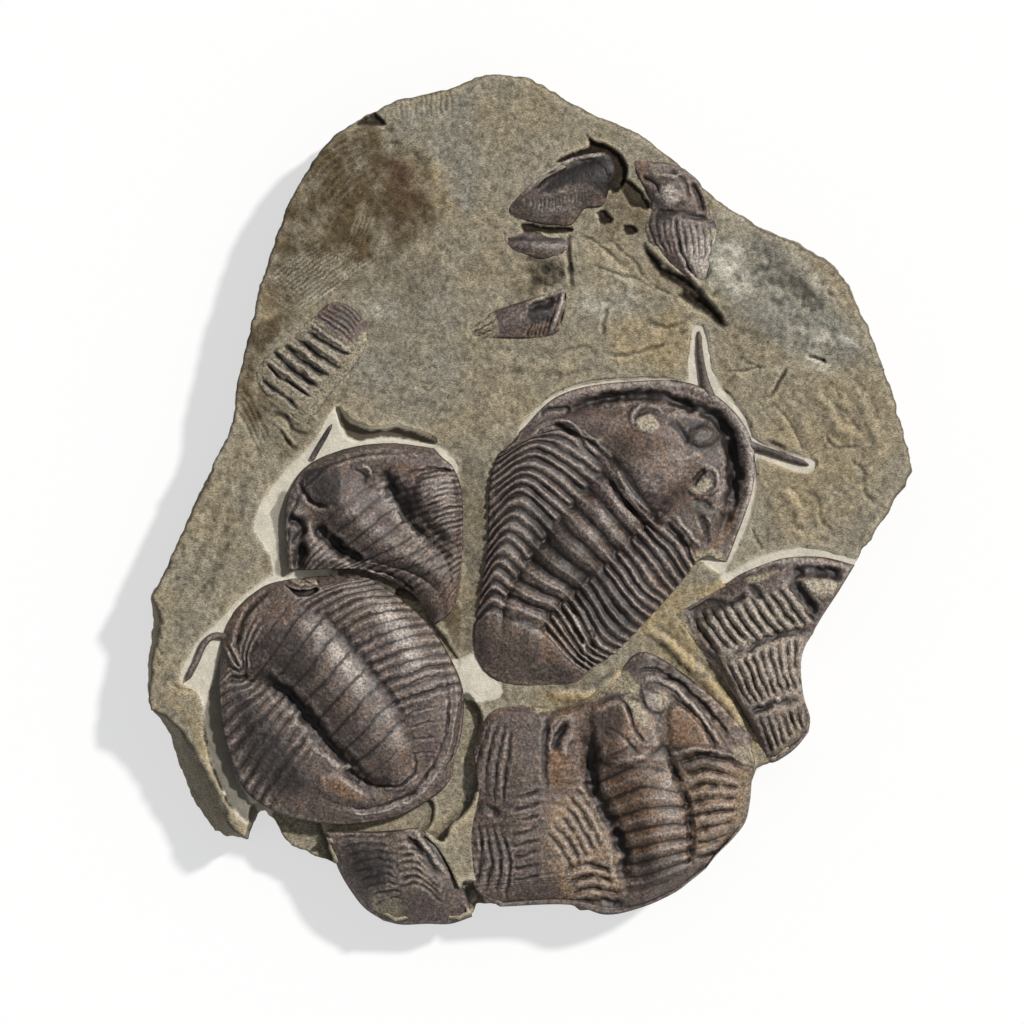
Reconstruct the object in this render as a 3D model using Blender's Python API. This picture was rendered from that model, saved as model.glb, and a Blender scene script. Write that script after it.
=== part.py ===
"""A slab of shale with a group of trilobites standing out of it in relief, lying flat on its back.

The slab is one solid with a flat underside. Each fossil is a solid of its own that sits in a pocket of the
slab, with a hairline gap round it, and the cleared channels round the fossils are cut into the slab's face.
Metres, +Z up: the underside is z = 0 and the origin is the middle of the slab's box.
"""

import bmesh
import bpy
import numpy as np

# Driving dimensions, in metres.
SLAB_LENGTH = 0.3416
SLAB_TOP = 0.0266
POCKET_FLOOR = 0.016
FOSSIL_BASE = 0.0164
CHANNEL_FLOOR = 0.0252
GAP = 0.0004
CUT_ABOVE = 0.070
SPINE_BASE = 0.0166
SPINE_SHOULDER = 0.0012

# Plan points are (x, y) steps of a drawing grid, x to the right and y down the slab.
STEPS_LONG = 854
CENTRE = (530.5, 499)
STEP = SLAB_LENGTH / STEPS_LONG
MM = 0.001
FURROW_COLUMNS = (4, 8)

# The slab's silhouette, clockwise from its top, and how far its face stops short of it, in steps.
SILHOUETTE = [
    (500, 72, 5), (527, 76, 5), (545, 85, 5), (577, 104, 5), (611, 119, 5), (646, 136, 4), (691, 173, 4),
    (703, 187, 4), (726, 204, 5), (754, 221, 6), (800, 241, 7), (829, 259, 7), (846, 276, 6), (857, 296, 6),
    (877, 344, 5), (894, 393, 5), (906, 433, 5), (915, 470, 6), (897, 501, 5), (863, 553, 4), (850, 573, 4),
    (819, 623, 4), (805, 647, 4), (800, 667, 4), (802, 685, 4), (805, 698, 4), (811, 719, 4), (810, 728, 4),
    (801, 742, 4), (790, 753, 4), (778, 760, 4), (757, 769, 4), (751, 788, 4), (749, 809, 4), (739, 832, 4),
    (722, 848, 4), (701, 869, 4), (682, 886, 4), (659, 897, 4), (634, 907, 4), (607, 912, 4), (580, 912, 4),
    (563, 899, 4), (546, 890, 4), (522, 898, 5), (499, 904, 4), (476, 906, 3), (471, 916, 3), (459, 922, 4),
    (429, 919, 4), (406, 921, 4), (394, 925, 4), (380, 916, 4), (366, 906, 4), (358, 901, 4), (348, 884, 4),
    (337, 866, 4), (323, 862, 4), (305, 854, 4), (291, 847, 4), (279, 834, 4), (270, 819, 4), (265, 812, 3),
    (258, 813, 3), (254, 820, 3), (249, 832, 5), (246, 841, 9), (226, 838, 18), (212, 835, 30), (200, 817, 30),
    (189, 798, 30), (181, 781, 29), (175, 759, 26), (167, 736, 18), (158, 721, 11), (149, 711, 5),
    (146, 699, 6), (145, 678, 9), (147, 651, 11), (149, 621, 14), (148, 607, 12), (149, 596, 7), (158, 579, 5),
    (166, 563, 5), (176, 540, 5), (211, 467, 5), (231, 421, 5), (237, 376, 5), (260, 279, 5), (288, 199, 5),
    (311, 160, 5), (331, 136, 5), (366, 113, 5), (406, 96, 5), (451, 87, 5), (474, 76, 5),
]  # fmt: skip
UNDERSIDE_INSET = 6
# Height of each ring of the slab's side, with its share of the underside's inset and of the face's inset.
SIDE_RINGS = [(0.0, 1.0, 0.0), (0.0035, 0.4, 0.0), (0.0105, 0.0, 0.0), (0.0245, 0.0, 0.62), (SLAB_TOP, 0.0, 1.0)]

# Fossil nets: rows run from head to tail and points across each row from margin to margin, as
# (x, y) steps and the height in millimetres above the slab's underside.
LOWER_LEFT = [
    [(220, 660, 25), (222, 637, 25), (232, 612, 25), (250, 594, 25), (272, 582, 25), (312, 577, 26), (350, 575, 27)],
    [(220, 674, 26), (228, 655, 29), (240, 638, 31), (262, 614, 33), (288, 595, 33), (322, 584, 31), (360, 577, 28)],
    [(220, 690, 26), (233, 682, 31), (249, 676, 31), (275, 643, 37), (302, 607, 35), (338, 588, 34), (374, 580, 28)],
    [(224, 735, 26), (247, 712, 32), (275, 688, 32), (303, 656, 40), (330, 622, 36), (368, 602, 36), (403, 600, 28)],
    [(243, 787, 26), (268, 748, 32), (300, 707, 33), (327, 680, 41), (353, 649, 36), (394, 630, 37), (430, 625, 28)],
    [(272, 810, 26), (296, 775, 32), (324, 735, 33), (350, 706, 41), (377, 679, 36), (418, 663, 36), (450, 657, 28)],
    [(302, 820, 26), (322, 792, 31), (346, 757, 33), (371, 733, 40), (397, 709, 35), (434, 698, 35), (463, 690, 28)],
    [(340, 825, 26), (352, 803, 30), (367, 777, 32), (390, 758, 37), (410, 739, 34), (440, 733, 33), (462, 730, 27)],
    [(372, 822, 26), (378, 807, 28), (386, 790, 30), (401, 779, 33), (414, 767, 32), (437, 763, 30), (455, 757, 27)],
    [(398, 816, 25), (408, 812, 26), (418, 807, 26), (428, 801, 26), (438, 794, 26), (446, 786, 26), (452, 776, 25)],
]  # fmt: skip
UPPER_LEFT = [
    [(279, 570, 25), (277, 531, 25), (284, 497, 25), (304, 468, 25), (340, 449, 25), (387, 442, 25), (434, 448, 26)],
    [(287, 570, 27), (289, 535, 29), (298, 504, 29), (318, 478, 30), (348, 462, 31), (388, 456, 32), (442, 457, 30)],
    [(296, 570, 28), (304, 544, 30), (318, 521, 30), (341, 500, 35), (367, 482, 31), (408, 470, 33), (453, 467, 32)],
    [(307, 570, 31), (320, 556, 34), (337, 542, 31), (362, 521, 37), (387, 502, 30), (430, 490, 36), (461, 487, 31)],
    [(335, 569, 32), (346, 563, 33), (357, 556, 32), (384, 539, 38), (409, 522, 31), (441, 511, 36), (463, 508, 31)],
    [(364, 567, 31), (371, 565, 32), (379, 563, 34), (405, 555, 38), (430, 543, 33), (449, 535, 35), (463, 530, 31)],
    [(401, 577, 31), (407, 575, 33), (413, 573, 34), (429, 568, 37), (445, 560, 34), (455, 555, 34), (462, 552, 30)],
    [(424, 596, 31), (430, 594, 32), (437, 591, 33), (444, 587, 34), (451, 582, 33), (457, 577, 32), (461, 573, 30)],
    [(438, 621, 28), (442, 620, 29), (446, 617, 29), (450, 613, 30), (453, 608, 30), (456, 602, 29), (458, 596, 28)],
]  # fmt: skip
CENTRAL = [
    [(521, 430, 26), (560, 395, 27), (622, 382, 27), (696, 385, 27), (745, 426, 27), (754, 482, 27), (727, 563, 26)],
    [(518, 436, 28), (566, 412, 26), (625, 402, 27), (690, 405, 28), (727, 437, 27), (734, 484, 26), (717, 560, 27)],
    [(514, 442, 30), (569, 418, 30), (627, 428, 34), (676, 441, 35), (706, 470, 34), (714, 508, 31), (709, 556, 29)],
    [(508, 447, 30), (571, 425, 30), (612, 456, 33), (636, 486, 37), (657, 513, 33), (683, 529, 34), (703, 552, 29)],
    [(495, 458, 29), (556, 447, 32), (595, 478, 33), (618, 503, 38), (641, 528, 33), (667, 553, 34), (686, 572, 28)],
    [(489, 482, 29), (536, 472, 33), (575, 501, 33), (598, 525, 38), (622, 548, 33), (651, 577, 34), (671, 594, 28)],
    [(488, 508, 29), (520, 504, 33), (553, 526, 33), (578, 547, 38), (603, 567, 33), (635, 600, 34), (655, 613, 28)],
    [(488, 537, 29), (509, 540, 33), (533, 553, 33), (557, 570, 37), (583, 587, 33), (616, 619, 33), (637, 633, 28)],
    [(485, 568, 29), (499, 573, 33), (516, 581, 33), (540, 594, 36), (566, 607, 33), (599, 635, 32), (622, 648, 28)],
    [(480, 600, 29), (491, 606, 32), (504, 608, 33), (525, 614, 35), (552, 624, 33), (585, 646, 31), (609, 659, 28)],
    [(475, 630, 28), (487, 636, 31), (501, 640, 32), (523, 645, 33), (548, 651, 32), (576, 663, 30), (597, 672, 27)],
    [(475, 655, 26), (484, 671, 26), (499, 682, 26), (521, 687, 26), (545, 688, 26), (567, 686, 26), (586, 679, 26)],
]  # fmt: skip
LOWER_RIGHT = [
    [(473, 748, 25), (494, 707, 25), (565, 706, 26), (612, 678, 27), (645, 652, 27), (706, 691, 27), (751, 737, 26)],
    [(475, 766, 28), (500, 724, 29), (569, 720, 30), (619, 701, 31), (650, 680, 30), (697, 709, 30), (752, 750, 28)],
    [(477, 786, 28), (520, 765, 31), (588, 762, 29), (622, 748, 35), (667, 744, 33), (714, 745, 33), (755, 763, 27)],
    [(474, 806, 26), (520, 795, 31), (595, 793, 29), (640, 776, 37), (679, 783, 33), (722, 778, 33), (752, 781, 25)],
    [(468, 830, 26), (525, 825, 32), (609, 819, 30), (650, 808, 38), (687, 808, 33), (722, 803, 32), (750, 803, 25)],
    [(468, 855, 26), (530, 853, 32), (618, 844, 30), (655, 835, 37), (690, 832, 32), (717, 826, 31), (745, 823, 25)],
    [(471, 878, 26), (535, 876, 31), (623, 867, 30), (658, 859, 36), (690, 852, 31), (711, 845, 30), (732, 840, 24)],
    [(478, 893, 26), (542, 884, 29), (628, 886, 29), (660, 878, 33), (687, 868, 30), (701, 861, 28), (717, 855, 24)],
    [(500, 907, 24), (568, 905, 24), (606, 915, 24), (641, 908, 24), (673, 894, 24), (691, 881, 24), (706, 869, 24)],
]  # fmt: skip
RIGHT_EDGE = [
    [(855, 565, 26), (838, 592, 29), (819, 622, 27), (802, 655, 29), (803, 692, 27), (810, 717, 27), (809, 732, 24)],
    [(822, 557, 27), (812, 590, 31), (803, 629, 29), (790, 664, 32), (795, 697, 29), (800, 722, 29), (798, 746, 24)],
    [(785, 558, 27), (780, 592, 32), (783, 636, 30), (775, 670, 34), (783, 701, 30), (788, 727, 30), (786, 756, 24)],
    [(752, 569, 27), (749, 605, 32), (762, 641, 31), (759, 675, 34), (770, 704, 31), (776, 732, 31), (771, 763, 24)],
    [(726, 582, 25), (725, 612, 30), (738, 643, 31), (741, 672, 33), (752, 703, 31), (760, 730, 30), (763, 753, 25)],
    [(702, 596, 25), (706, 620, 28), (716, 645, 30), (725, 667, 31), (735, 688, 30), (742, 706, 29), (749, 723, 26)],
    [(686, 605, 25), (698, 624, 27), (708, 640, 28), (716, 655, 29), (722, 669, 28), (727, 680, 27), (731, 691, 26)],
    [(672, 614, 25), (678, 621, 25), (683, 628, 26), (688, 634, 26), (693, 640, 26), (698, 646, 26), (702, 652, 26)],
]  # fmt: skip
TOP_HEAD = [
    [(500, 211, 25), (502, 218, 26), (504, 225, 25)],
    [(526, 194, 26), (528, 208, 31), (530, 222, 26)],
    [(551, 175, 27), (555, 200, 34), (557, 228, 27)],
    [(575, 162, 27), (580, 193, 35), (577, 223, 27)],
    [(599, 153, 27), (602, 180, 34), (595, 211, 27)],
    [(612, 157, 26), (615, 172, 30), (610, 192, 27)],
    [(620, 166, 25), (621, 172, 26), (618, 179, 25)],
]  # fmt: skip
TOP_RIM = [
    [(503, 236, 25), (505, 243, 26), (507, 250, 25)],
    [(528, 231, 26), (530, 245, 31), (533, 258, 27)],
    [(552, 235, 26), (552, 247, 31), (552, 259, 27)],
    [(569, 236, 25), (569, 246, 27), (568, 256, 25)],
]  # fmt: skip
TOP_TAIL = [
    [(466, 331, 25), (468, 334, 26), (471, 337, 25)],
    [(491, 313, 27), (493, 325, 31), (494, 338, 28)],
    [(530, 299, 27), (530, 318, 33), (530, 338, 28)],
    [(556, 291, 27), (556, 312, 32), (552, 335, 28)],
    [(570, 285, 26), (568, 305, 28), (563, 327, 26)],
]  # fmt: skip
TOP_FAN = [
    [(637, 168, 26), (656, 165, 27), (674, 169, 27), (684, 179, 26)],
    [(640, 185, 27), (660, 185, 31), (683, 187, 31), (694, 193, 27)],
    [(645, 205, 27), (665, 207, 33), (690, 210, 32), (706, 214, 27)],
    [(643, 222, 27), (666, 225, 32), (692, 226, 33), (714, 224, 28)],
    [(648, 244, 27), (668, 249, 31), (693, 251, 33), (714, 248, 29)],
    [(664, 263, 27), (681, 269, 30), (697, 271, 32), (711, 267, 28)],
    [(683, 279, 26), (690, 284, 27), (700, 287, 27), (708, 283, 26)],
]  # fmt: skip
LEFT_RIBS = [
    [(331, 300, 27), (349, 306, 29), (364, 317, 27)],
    [(316, 314, 27), (338, 329, 32), (358, 341, 27)],
    [(300, 328, 27), (322, 345, 32), (344, 360, 27)],
    [(284, 342, 27), (305, 360, 32), (328, 376, 27)],
    [(268, 356, 27), (290, 375, 31), (314, 391, 27)],
    [(258, 369, 27), (278, 389, 30), (302, 406, 27)],
    [(256, 382, 26), (272, 400, 27), (291, 416, 26)],
]  # fmt: skip
BOTTOM = [
    [(325, 832, 23), (350, 832, 24), (378, 832, 24), (402, 830, 25), (419, 828, 24)],
    [(331, 848, 23), (356, 848, 27), (385, 848, 28), (412, 845, 29), (436, 841, 25)],
    [(338, 870, 22), (364, 868, 28), (395, 868, 30), (425, 865, 30), (449, 858, 25)],
    [(350, 891, 22), (375, 889, 28), (405, 888, 30), (436, 885, 29), (460, 881, 24)],
    [(364, 909, 21), (388, 906, 25), (412, 905, 27), (442, 903, 26), (468, 900, 22)],
    [(383, 922, 20), (402, 926, 20), (426, 925, 21), (450, 925, 21), (472, 918, 20)],
]  # fmt: skip

# Spines: (x, y, half width, height in mm) along the ridge, from inside the head to the tip.
CENTRAL_SPINES = [
    [(707, 396, 6.0, 28.5), (705, 378, 5.5, 30), (702, 355, 4.2, 30), (701, 331, 2.4, 27)],
    [(744, 444, 5.0, 28.0), (762, 449, 4.5, 29), (785, 458, 3.6, 28.5), (810, 467, 2.0, 26.5)],
]
LOWER_LEFT_SPINES = [
    [(233, 640, 4, 27), (219, 636, 3.6, 29), (206, 643, 3.4, 29.5), (196, 659, 3, 29), (186, 678, 1.8, 26.5)],
]
UPPER_LEFT_SPINES = [
    [(311, 475, 3.6, 28), (315, 457, 3.2, 28), (324, 440, 2.6, 28), (333, 425, 1.4, 26.5)],
]

# Cleared channels and low benches of the rock, as (floor, closed outline). They may run on under the
# fossils, where the pockets take over.
CHANNELS = [
    (CHANNEL_FLOOR, [
        (527, 411), (546, 395), (567, 386), (597, 379), (631, 376), (666, 378), (687, 379), (691, 356),
        (694, 335), (697, 326), (702, 323), (707, 328), (709, 349), (713, 370), (721, 388), (735, 402),
        (747, 418), (755, 437), (768, 446), (793, 458), (814, 462), (817, 467), (809, 474), (793, 470),
        (777, 463), (761, 460), (760, 476), (756, 506), (752, 525), (745, 543), (731, 566), (723, 573),
        (700, 556), (640, 500), (560, 440), (524, 434),
    ]),
    (CHANNEL_FLOOR, [
        (722, 574), (732, 573), (747, 564), (762, 557), (778, 552), (793, 549), (808, 548), (824, 551),
        (839, 555), (857, 559), (875, 563), (870, 600), (780, 600), (735, 590),
    ]),
    (CHANNEL_FLOOR, [
        (280, 576), (272, 574), (273, 567), (268, 552), (259, 538), (254, 525), (262, 502), (274, 485),
        (290, 467), (307, 452), (320, 436), (330, 421), (336, 407), (341, 411), (343, 423), (355, 429),
        (372, 430), (397, 429), (413, 435), (431, 440), (448, 452), (455, 475), (400, 540), (320, 572),
    ]),
    (CHANNEL_FLOOR, [
        (330, 574), (277, 575), (268, 577), (249, 588), (235, 602), (221, 621), (205, 632), (198, 641),
        (187, 662), (181, 676), (184, 684), (193, 687), (200, 692), (205, 711), (207, 731), (210, 757),
        (218, 778), (223, 794), (231, 805), (238, 817), (248, 824), (256, 830), (262, 830), (275, 800),
        (300, 700), (330, 620),
    ]),
    (CHANNEL_FLOOR, [
        (395, 596), (418, 599), (432, 623), (446, 646), (458, 662), (461, 640), (459, 600), (458, 560),
        (459, 500), (456, 462), (472, 448), (490, 462), (495, 500), (492, 560), (486, 620), (480, 655),
        (486, 673), (500, 686), (500, 697), (479, 701), (463, 698), (440, 690), (400, 620),
    ]),
    (0.0215, [
        (455, 700), (476, 702), (482, 720), (478, 745), (481, 790), (487, 808), (470, 815), (452, 824),
        (444, 842), (428, 832), (408, 826), (420, 800),
    ]),
    (0.0180, [(316, 815), (372, 812), (425, 800), (432, 815), (424, 831), (405, 833), (320, 836)]),
    (0.0156, [(250, 812), (262, 803), (285, 804), (312, 815), (322, 832), (332, 866), (337, 885),
        (300, 885), (255, 850)]),
]  # fmt: skip

SHALE = "Shale"
SHELL = "Fossil shell"
COLOURS = {SHALE: ((0.26, 0.235, 0.165, 1.0), 0.9), SHELL: ((0.075, 0.048, 0.040, 1.0), 0.55)}


def metres(points):
    """World x and y of plan points."""
    points = np.asarray(points, float)
    return (points - CENTRE) * (STEP, -STEP)


def spline(points, at):
    """The points of a Catmull-Rom curve through the rows of points, at fractional row numbers."""
    points = np.concatenate([2 * points[:1] - points[1:2], points, 2 * points[-1:] - points[-2:-1]])
    first = np.clip(np.floor(at).astype(int), 0, len(points) - 4)
    t = (at - first).reshape((-1,) + (1,) * (points.ndim - 1))
    a, b, c, d = (points[first + k] for k in range(4))
    return 0.5 * (2 * b + (c - a) * t + (2 * a - 5 * b + 4 * c - d) * t**2 + (3 * (b - c) + d - a) * t**3)


def fossil_grid(net, rows_at):
    """World points of a net, at the given fractional rows and at each column and half column."""
    net = np.array(net, float)
    along = spline(net, rows_at)
    across_at = np.linspace(0, net.shape[1] - 1, 2 * net.shape[1] - 1)
    grid = spline(along.swapaxes(0, 1), across_at).swapaxes(0, 1)
    return np.concatenate([metres(grid[..., :2]), grid[..., 2:] * MM], axis=2)


def cut_furrows(grid, depth_mm):
    """Lowers the two lines where the raised middle lobe meets the side lobes, fading out towards head and tail."""
    fade = np.sin(np.linspace(0.12, 1.0, len(grid)) * np.pi)
    for column in FURROW_COLUMNS:
        grid[:, column, 2] -= np.maximum(fade, 0.0) * depth_mm * MM


def rib_rows(start, end, count, last):
    """Fractional rows for a fossil whose ribs run from row start to row end: two rows to a rib, and plain ones
    before and after. Also the rise of each row, -1 in a furrow and 1 on a crest."""
    before = np.linspace(0, start, int(np.ceil(start * 2)) + 1)[:-1]
    ribs = np.linspace(start, end, 2 * count + 1)
    after = np.linspace(end, last, int(np.ceil((last - end) * 2)) + 1)[1:]
    rise = np.concatenate([np.zeros(len(before)), np.resize([-1.0, 1.0], len(ribs)), np.zeros(len(after))])
    return np.concatenate([before, ribs, after]), rise


def ring_of(rows, columns):
    """Indices of a grid's border, in order round it."""
    index = np.arange(rows * columns).reshape(rows, columns)
    return np.concatenate([index[0], index[1:, -1], index[-1, -2::-1], index[-2:0:-1, 0]])


def signed_area(loop):
    """Area of a closed plan outline, positive when it runs anticlockwise."""
    ahead = np.roll(loop, -1, axis=0)
    return 0.5 * np.sum(loop[:, 0] * ahead[:, 1] - ahead[:, 0] * loop[:, 1])


def grown(loop, by):
    """A closed outline moved outwards by a distance, with mitred corners."""
    if signed_area(loop) < 0:
        loop = loop[::-1]
    ahead = np.roll(loop, -1, axis=0) - loop
    out = np.stack([ahead[:, 1], -ahead[:, 0]], axis=1)
    out /= np.linalg.norm(out, axis=1, keepdims=True)
    before = np.roll(out, 1, axis=0)
    mitre = (out + before) / np.maximum(1 + np.sum(out * before, axis=1, keepdims=True), 0.35)
    return loop + mitre * by


def material(name):
    made = bpy.data.materials.get(name) or bpy.data.materials.new(name)
    made.use_nodes = True
    principled = made.node_tree.nodes["Principled BSDF"]
    principled.inputs["Base Color"].default_value, principled.inputs["Roughness"].default_value = COLOURS[name]
    return made


def new_object(name, points, faces, material_name):
    mesh = bpy.data.meshes.new(name)
    mesh.from_pydata([tuple(map(float, p)) for p in points], [], [tuple(map(int, f)) for f in faces])
    mesh.materials.append(material(material_name))
    made = bpy.data.objects.new(name, mesh)
    bpy.context.scene.collection.objects.link(made)
    shell = bmesh.new()
    shell.from_mesh(mesh)
    bmesh.ops.recalc_face_normals(shell, faces=shell.faces)
    shell.to_mesh(mesh)
    shell.free()
    return made


def helper(made):
    """Marks a cutter or an addition, which isn't a piece of its own."""
    made.hide_render = True
    made.display_type = "WIRE"
    return made


def boolean(target, other, operation):
    modifier = target.modifiers.new(f"{operation.title()} {other.name}", "BOOLEAN")
    modifier.operation = operation
    modifier.solver = "EXACT"
    modifier.object = helper(other)


def closed_solid(name, rings, material_name):
    """A solid of stacked rings that have the same number of points, closed by a flat face at each end."""
    count = len(rings[0])
    points = np.concatenate(rings)
    faces = []
    for level in range(len(rings) - 1):
        for k in range(count):
            low, high = level * count, (level + 1) * count
            faces.append((low + k, low + (k + 1) % count, high + (k + 1) % count, high + k))
    faces += [list(range(count)), list(range(len(points) - count, len(points)))]
    return new_object(name, points, faces, material_name)


def at_height(loop, height):
    return np.concatenate([loop, np.full((len(loop), 1), height)], axis=1)


def prism(name, loop, floor):
    return closed_solid(name, [at_height(loop, floor), at_height(loop, CUT_ABOVE)], SHALE)


def make_slab():
    plan = np.array(SILHOUETTE, float)
    outline, inset = metres(plan[:, :2]), plan[:, 2:] * STEP
    inward = -(grown(outline[::-1], 1.0)[::-1] - outline)
    inward /= np.linalg.norm(inward, axis=1, keepdims=True)
    under = UNDERSIDE_INSET * STEP
    rings = [
        at_height(outline + inward * (under * low_share + inset * face_share), height)
        for height, low_share, face_share in SIDE_RINGS
    ]
    slab = closed_solid("matrix_slab", rings, SHALE)
    for number, (floor, outline) in enumerate(CHANNELS):
        boolean(slab, prism(f"channel_{number}", metres(outline), floor), "DIFFERENCE")
    return slab


def spine(name, ridge):
    """A tapering ridge with a flat underside, running out of a head."""
    ridge = np.array(ridge, float)
    centre = metres(ridge[:, :2])
    ahead = np.gradient(centre, axis=0)
    side = np.stack([ahead[:, 1], -ahead[:, 0]], axis=1) / np.linalg.norm(ahead, axis=1, keepdims=True)
    half = ridge[:, 2:3] * STEP
    crest = ridge[:, 3:] * MM
    base = np.full_like(crest, SPINE_BASE)
    shoulder = crest - SPINE_SHOULDER
    section = [
        np.concatenate([centre + side * half, base], axis=1),
        np.concatenate([centre + side * half, shoulder], axis=1),
        np.concatenate([centre, crest], axis=1),
        np.concatenate([centre - side * half, shoulder], axis=1),
        np.concatenate([centre - side * half, base], axis=1),
    ]
    rings = [np.array([part[k] for part in section]) for k in range(len(ridge))]
    outline = np.concatenate([centre + side * half, (centre - side * half)[::-1]])
    return closed_solid(name, rings, SHELL), outline


def make_fossil(slab, name, net, ribs, rise_mm, furrow_mm=0.0, spines=()):
    """One fossil: its net with ribs across it, upright sides and a flat underside, and its pocket in the slab."""
    rows_at, rise = rib_rows(*ribs, len(net) - 1)
    grid = fossil_grid(net, rows_at)
    rows, columns = grid.shape[:2]
    inside = np.ones(columns)
    inside[[0, -1]] = 0.0
    grid[..., 2] += rise[:, None] * inside * rise_mm * MM
    if furrow_mm:
        cut_furrows(grid, furrow_mm)
    index = np.arange(rows * columns).reshape(rows, columns)
    quads = np.stack([index[:-1, :-1], index[:-1, 1:], index[1:, 1:], index[1:, :-1]], axis=-1).reshape(-1, 4)
    top = grid.reshape(-1, 3)
    ring = ring_of(rows, columns)
    foot = top[ring].copy()
    foot[:, 2] = FOSSIL_BASE
    first = len(top)
    count = len(ring)
    walls = [(ring[k], ring[(k + 1) % count], first + (k + 1) % count, first + k) for k in range(count)]
    faces = [*quads.tolist(), *walls, list(range(first, first + count))]
    fossil = new_object(name, np.concatenate([top, foot]), faces, SHELL)
    pocket = prism(f"pocket_{name}", grown(foot[:, :2], GAP), POCKET_FLOOR)
    boolean(slab, pocket, "DIFFERENCE")
    for number, ridge in enumerate(spines):
        addition, outline = spine(f"spine_{name}_{number}", ridge)
        boolean(fossil, addition, "UNION")
        room = prism(f"room_{name}_{number}", grown(outline, GAP), POCKET_FLOOR)
        boolean(slab, room, "DIFFERENCE")


def main():
    for old in list(bpy.data.objects):
        bpy.data.objects.remove(old)
    slab = make_slab()
    make_fossil(slab, "trilobite_lower_left", LOWER_LEFT, (1.6, 6.4, 11), 0.5, 1.2, LOWER_LEFT_SPINES)
    make_fossil(slab, "trilobite_upper_left", UPPER_LEFT, (2.2, 6.8, 8), 0.5, 1.2, UPPER_LEFT_SPINES)
    make_fossil(slab, "trilobite_central", CENTRAL, (3.0, 9.0, 12), 0.7, 1.2, CENTRAL_SPINES)
    make_fossil(slab, "trilobite_lower_right", LOWER_RIGHT, (2.0, 7.0, 9), 0.6, 1.2)
    make_fossil(slab, "trilobite_right_edge", RIGHT_EDGE, (0.0, 7.0, 12), 0.6, 1.2)
    make_fossil(slab, "top_head_fragment", TOP_HEAD, (2.0, 4.0, 1), 0.0)
    make_fossil(slab, "top_rim_fragment", TOP_RIM, (1.0, 2.0, 1), 0.0)
    make_fossil(slab, "top_tail_fragment", TOP_TAIL, (0.5, 3.5, 5), 0.3)
    make_fossil(slab, "top_fan_fragment", TOP_FAN, (2.5, 4.5, 2), 0.2)
    make_fossil(slab, "left_rib_fragment", LEFT_RIBS, (0.5, 5.5, 8), 0.7)
    make_fossil(slab, "bottom_fragment", BOTTOM, (1.0, 4.0, 4), 0.4)


main()
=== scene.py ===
"""A slab of shale with a group of trilobites in relief, lying flat on its back and seen from above.

The slab's face is one triangulated height field with its cleared channels, ledges and stains, closed by
broken sides and a flat underside. Each fossil is a fine grid laid over a net of given points, with its
rings, ribs, borders, eyes and spines worked into it, and is bedded in a pocket of the slab.
Plan points are steps of a drawing grid, x to the right and y down the slab. An outline or a line is a list
of them, x, y, x, y and so on. Heights are in millimetres above the slab's underside.
"""

import math
from dataclasses import dataclass, field

import bpy
import numpy as np
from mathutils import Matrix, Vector
from mathutils.geometry import delaunay_2d_cdt
from mathutils.kdtree import KDTree


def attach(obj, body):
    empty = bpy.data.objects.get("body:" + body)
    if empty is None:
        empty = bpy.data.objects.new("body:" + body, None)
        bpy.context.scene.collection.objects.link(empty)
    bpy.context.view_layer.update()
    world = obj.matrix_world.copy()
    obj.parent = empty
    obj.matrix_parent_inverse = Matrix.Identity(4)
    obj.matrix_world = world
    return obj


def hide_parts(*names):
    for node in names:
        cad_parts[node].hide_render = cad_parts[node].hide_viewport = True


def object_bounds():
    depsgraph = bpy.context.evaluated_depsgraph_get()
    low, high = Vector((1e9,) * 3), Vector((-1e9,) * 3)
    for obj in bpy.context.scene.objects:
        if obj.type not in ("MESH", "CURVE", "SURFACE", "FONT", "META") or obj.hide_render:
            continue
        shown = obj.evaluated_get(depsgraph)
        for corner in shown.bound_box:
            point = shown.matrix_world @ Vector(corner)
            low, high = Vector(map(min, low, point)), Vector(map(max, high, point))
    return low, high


bl_info = {
    "name": "Trilobite slab",
    "version": (1, 0, 0),
    "blender": (4, 5, 0),
    "location": "View3D > Sidebar > Trilobite slab",
    "description": "Makes a slab of shale with trilobites standing out of it in relief",
    "category": "Add Mesh",
}

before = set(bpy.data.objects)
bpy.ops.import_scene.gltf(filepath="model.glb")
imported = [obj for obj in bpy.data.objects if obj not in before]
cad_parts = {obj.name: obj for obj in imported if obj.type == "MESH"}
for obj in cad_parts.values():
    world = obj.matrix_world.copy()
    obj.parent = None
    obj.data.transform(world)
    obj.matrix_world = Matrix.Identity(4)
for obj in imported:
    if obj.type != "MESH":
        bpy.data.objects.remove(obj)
cad_low, cad_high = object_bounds()

MM = 0.001
# The drawing grid: the slab is this many steps long, the frame's origin is at CENTRE, and the camera takes in
# a square of FRAME_STEPS.
STEPS_LONG = 854
CENTRE = (530.5, 499)
FRAME_STEPS = 1024
STEP = (cad_high.y - cad_low.y) / STEPS_LONG
STEP_MM = STEP / MM

# Heights in mm above the underside, and the shell's thickness in mm.
FACE_HEIGHT = 26.4
CHANNEL_FLOOR = 25.2
POCKET_FLOOR = 16.0
FOSSIL_BASE = 16.4
SHELL_THICKNESS = 1.8

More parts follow.
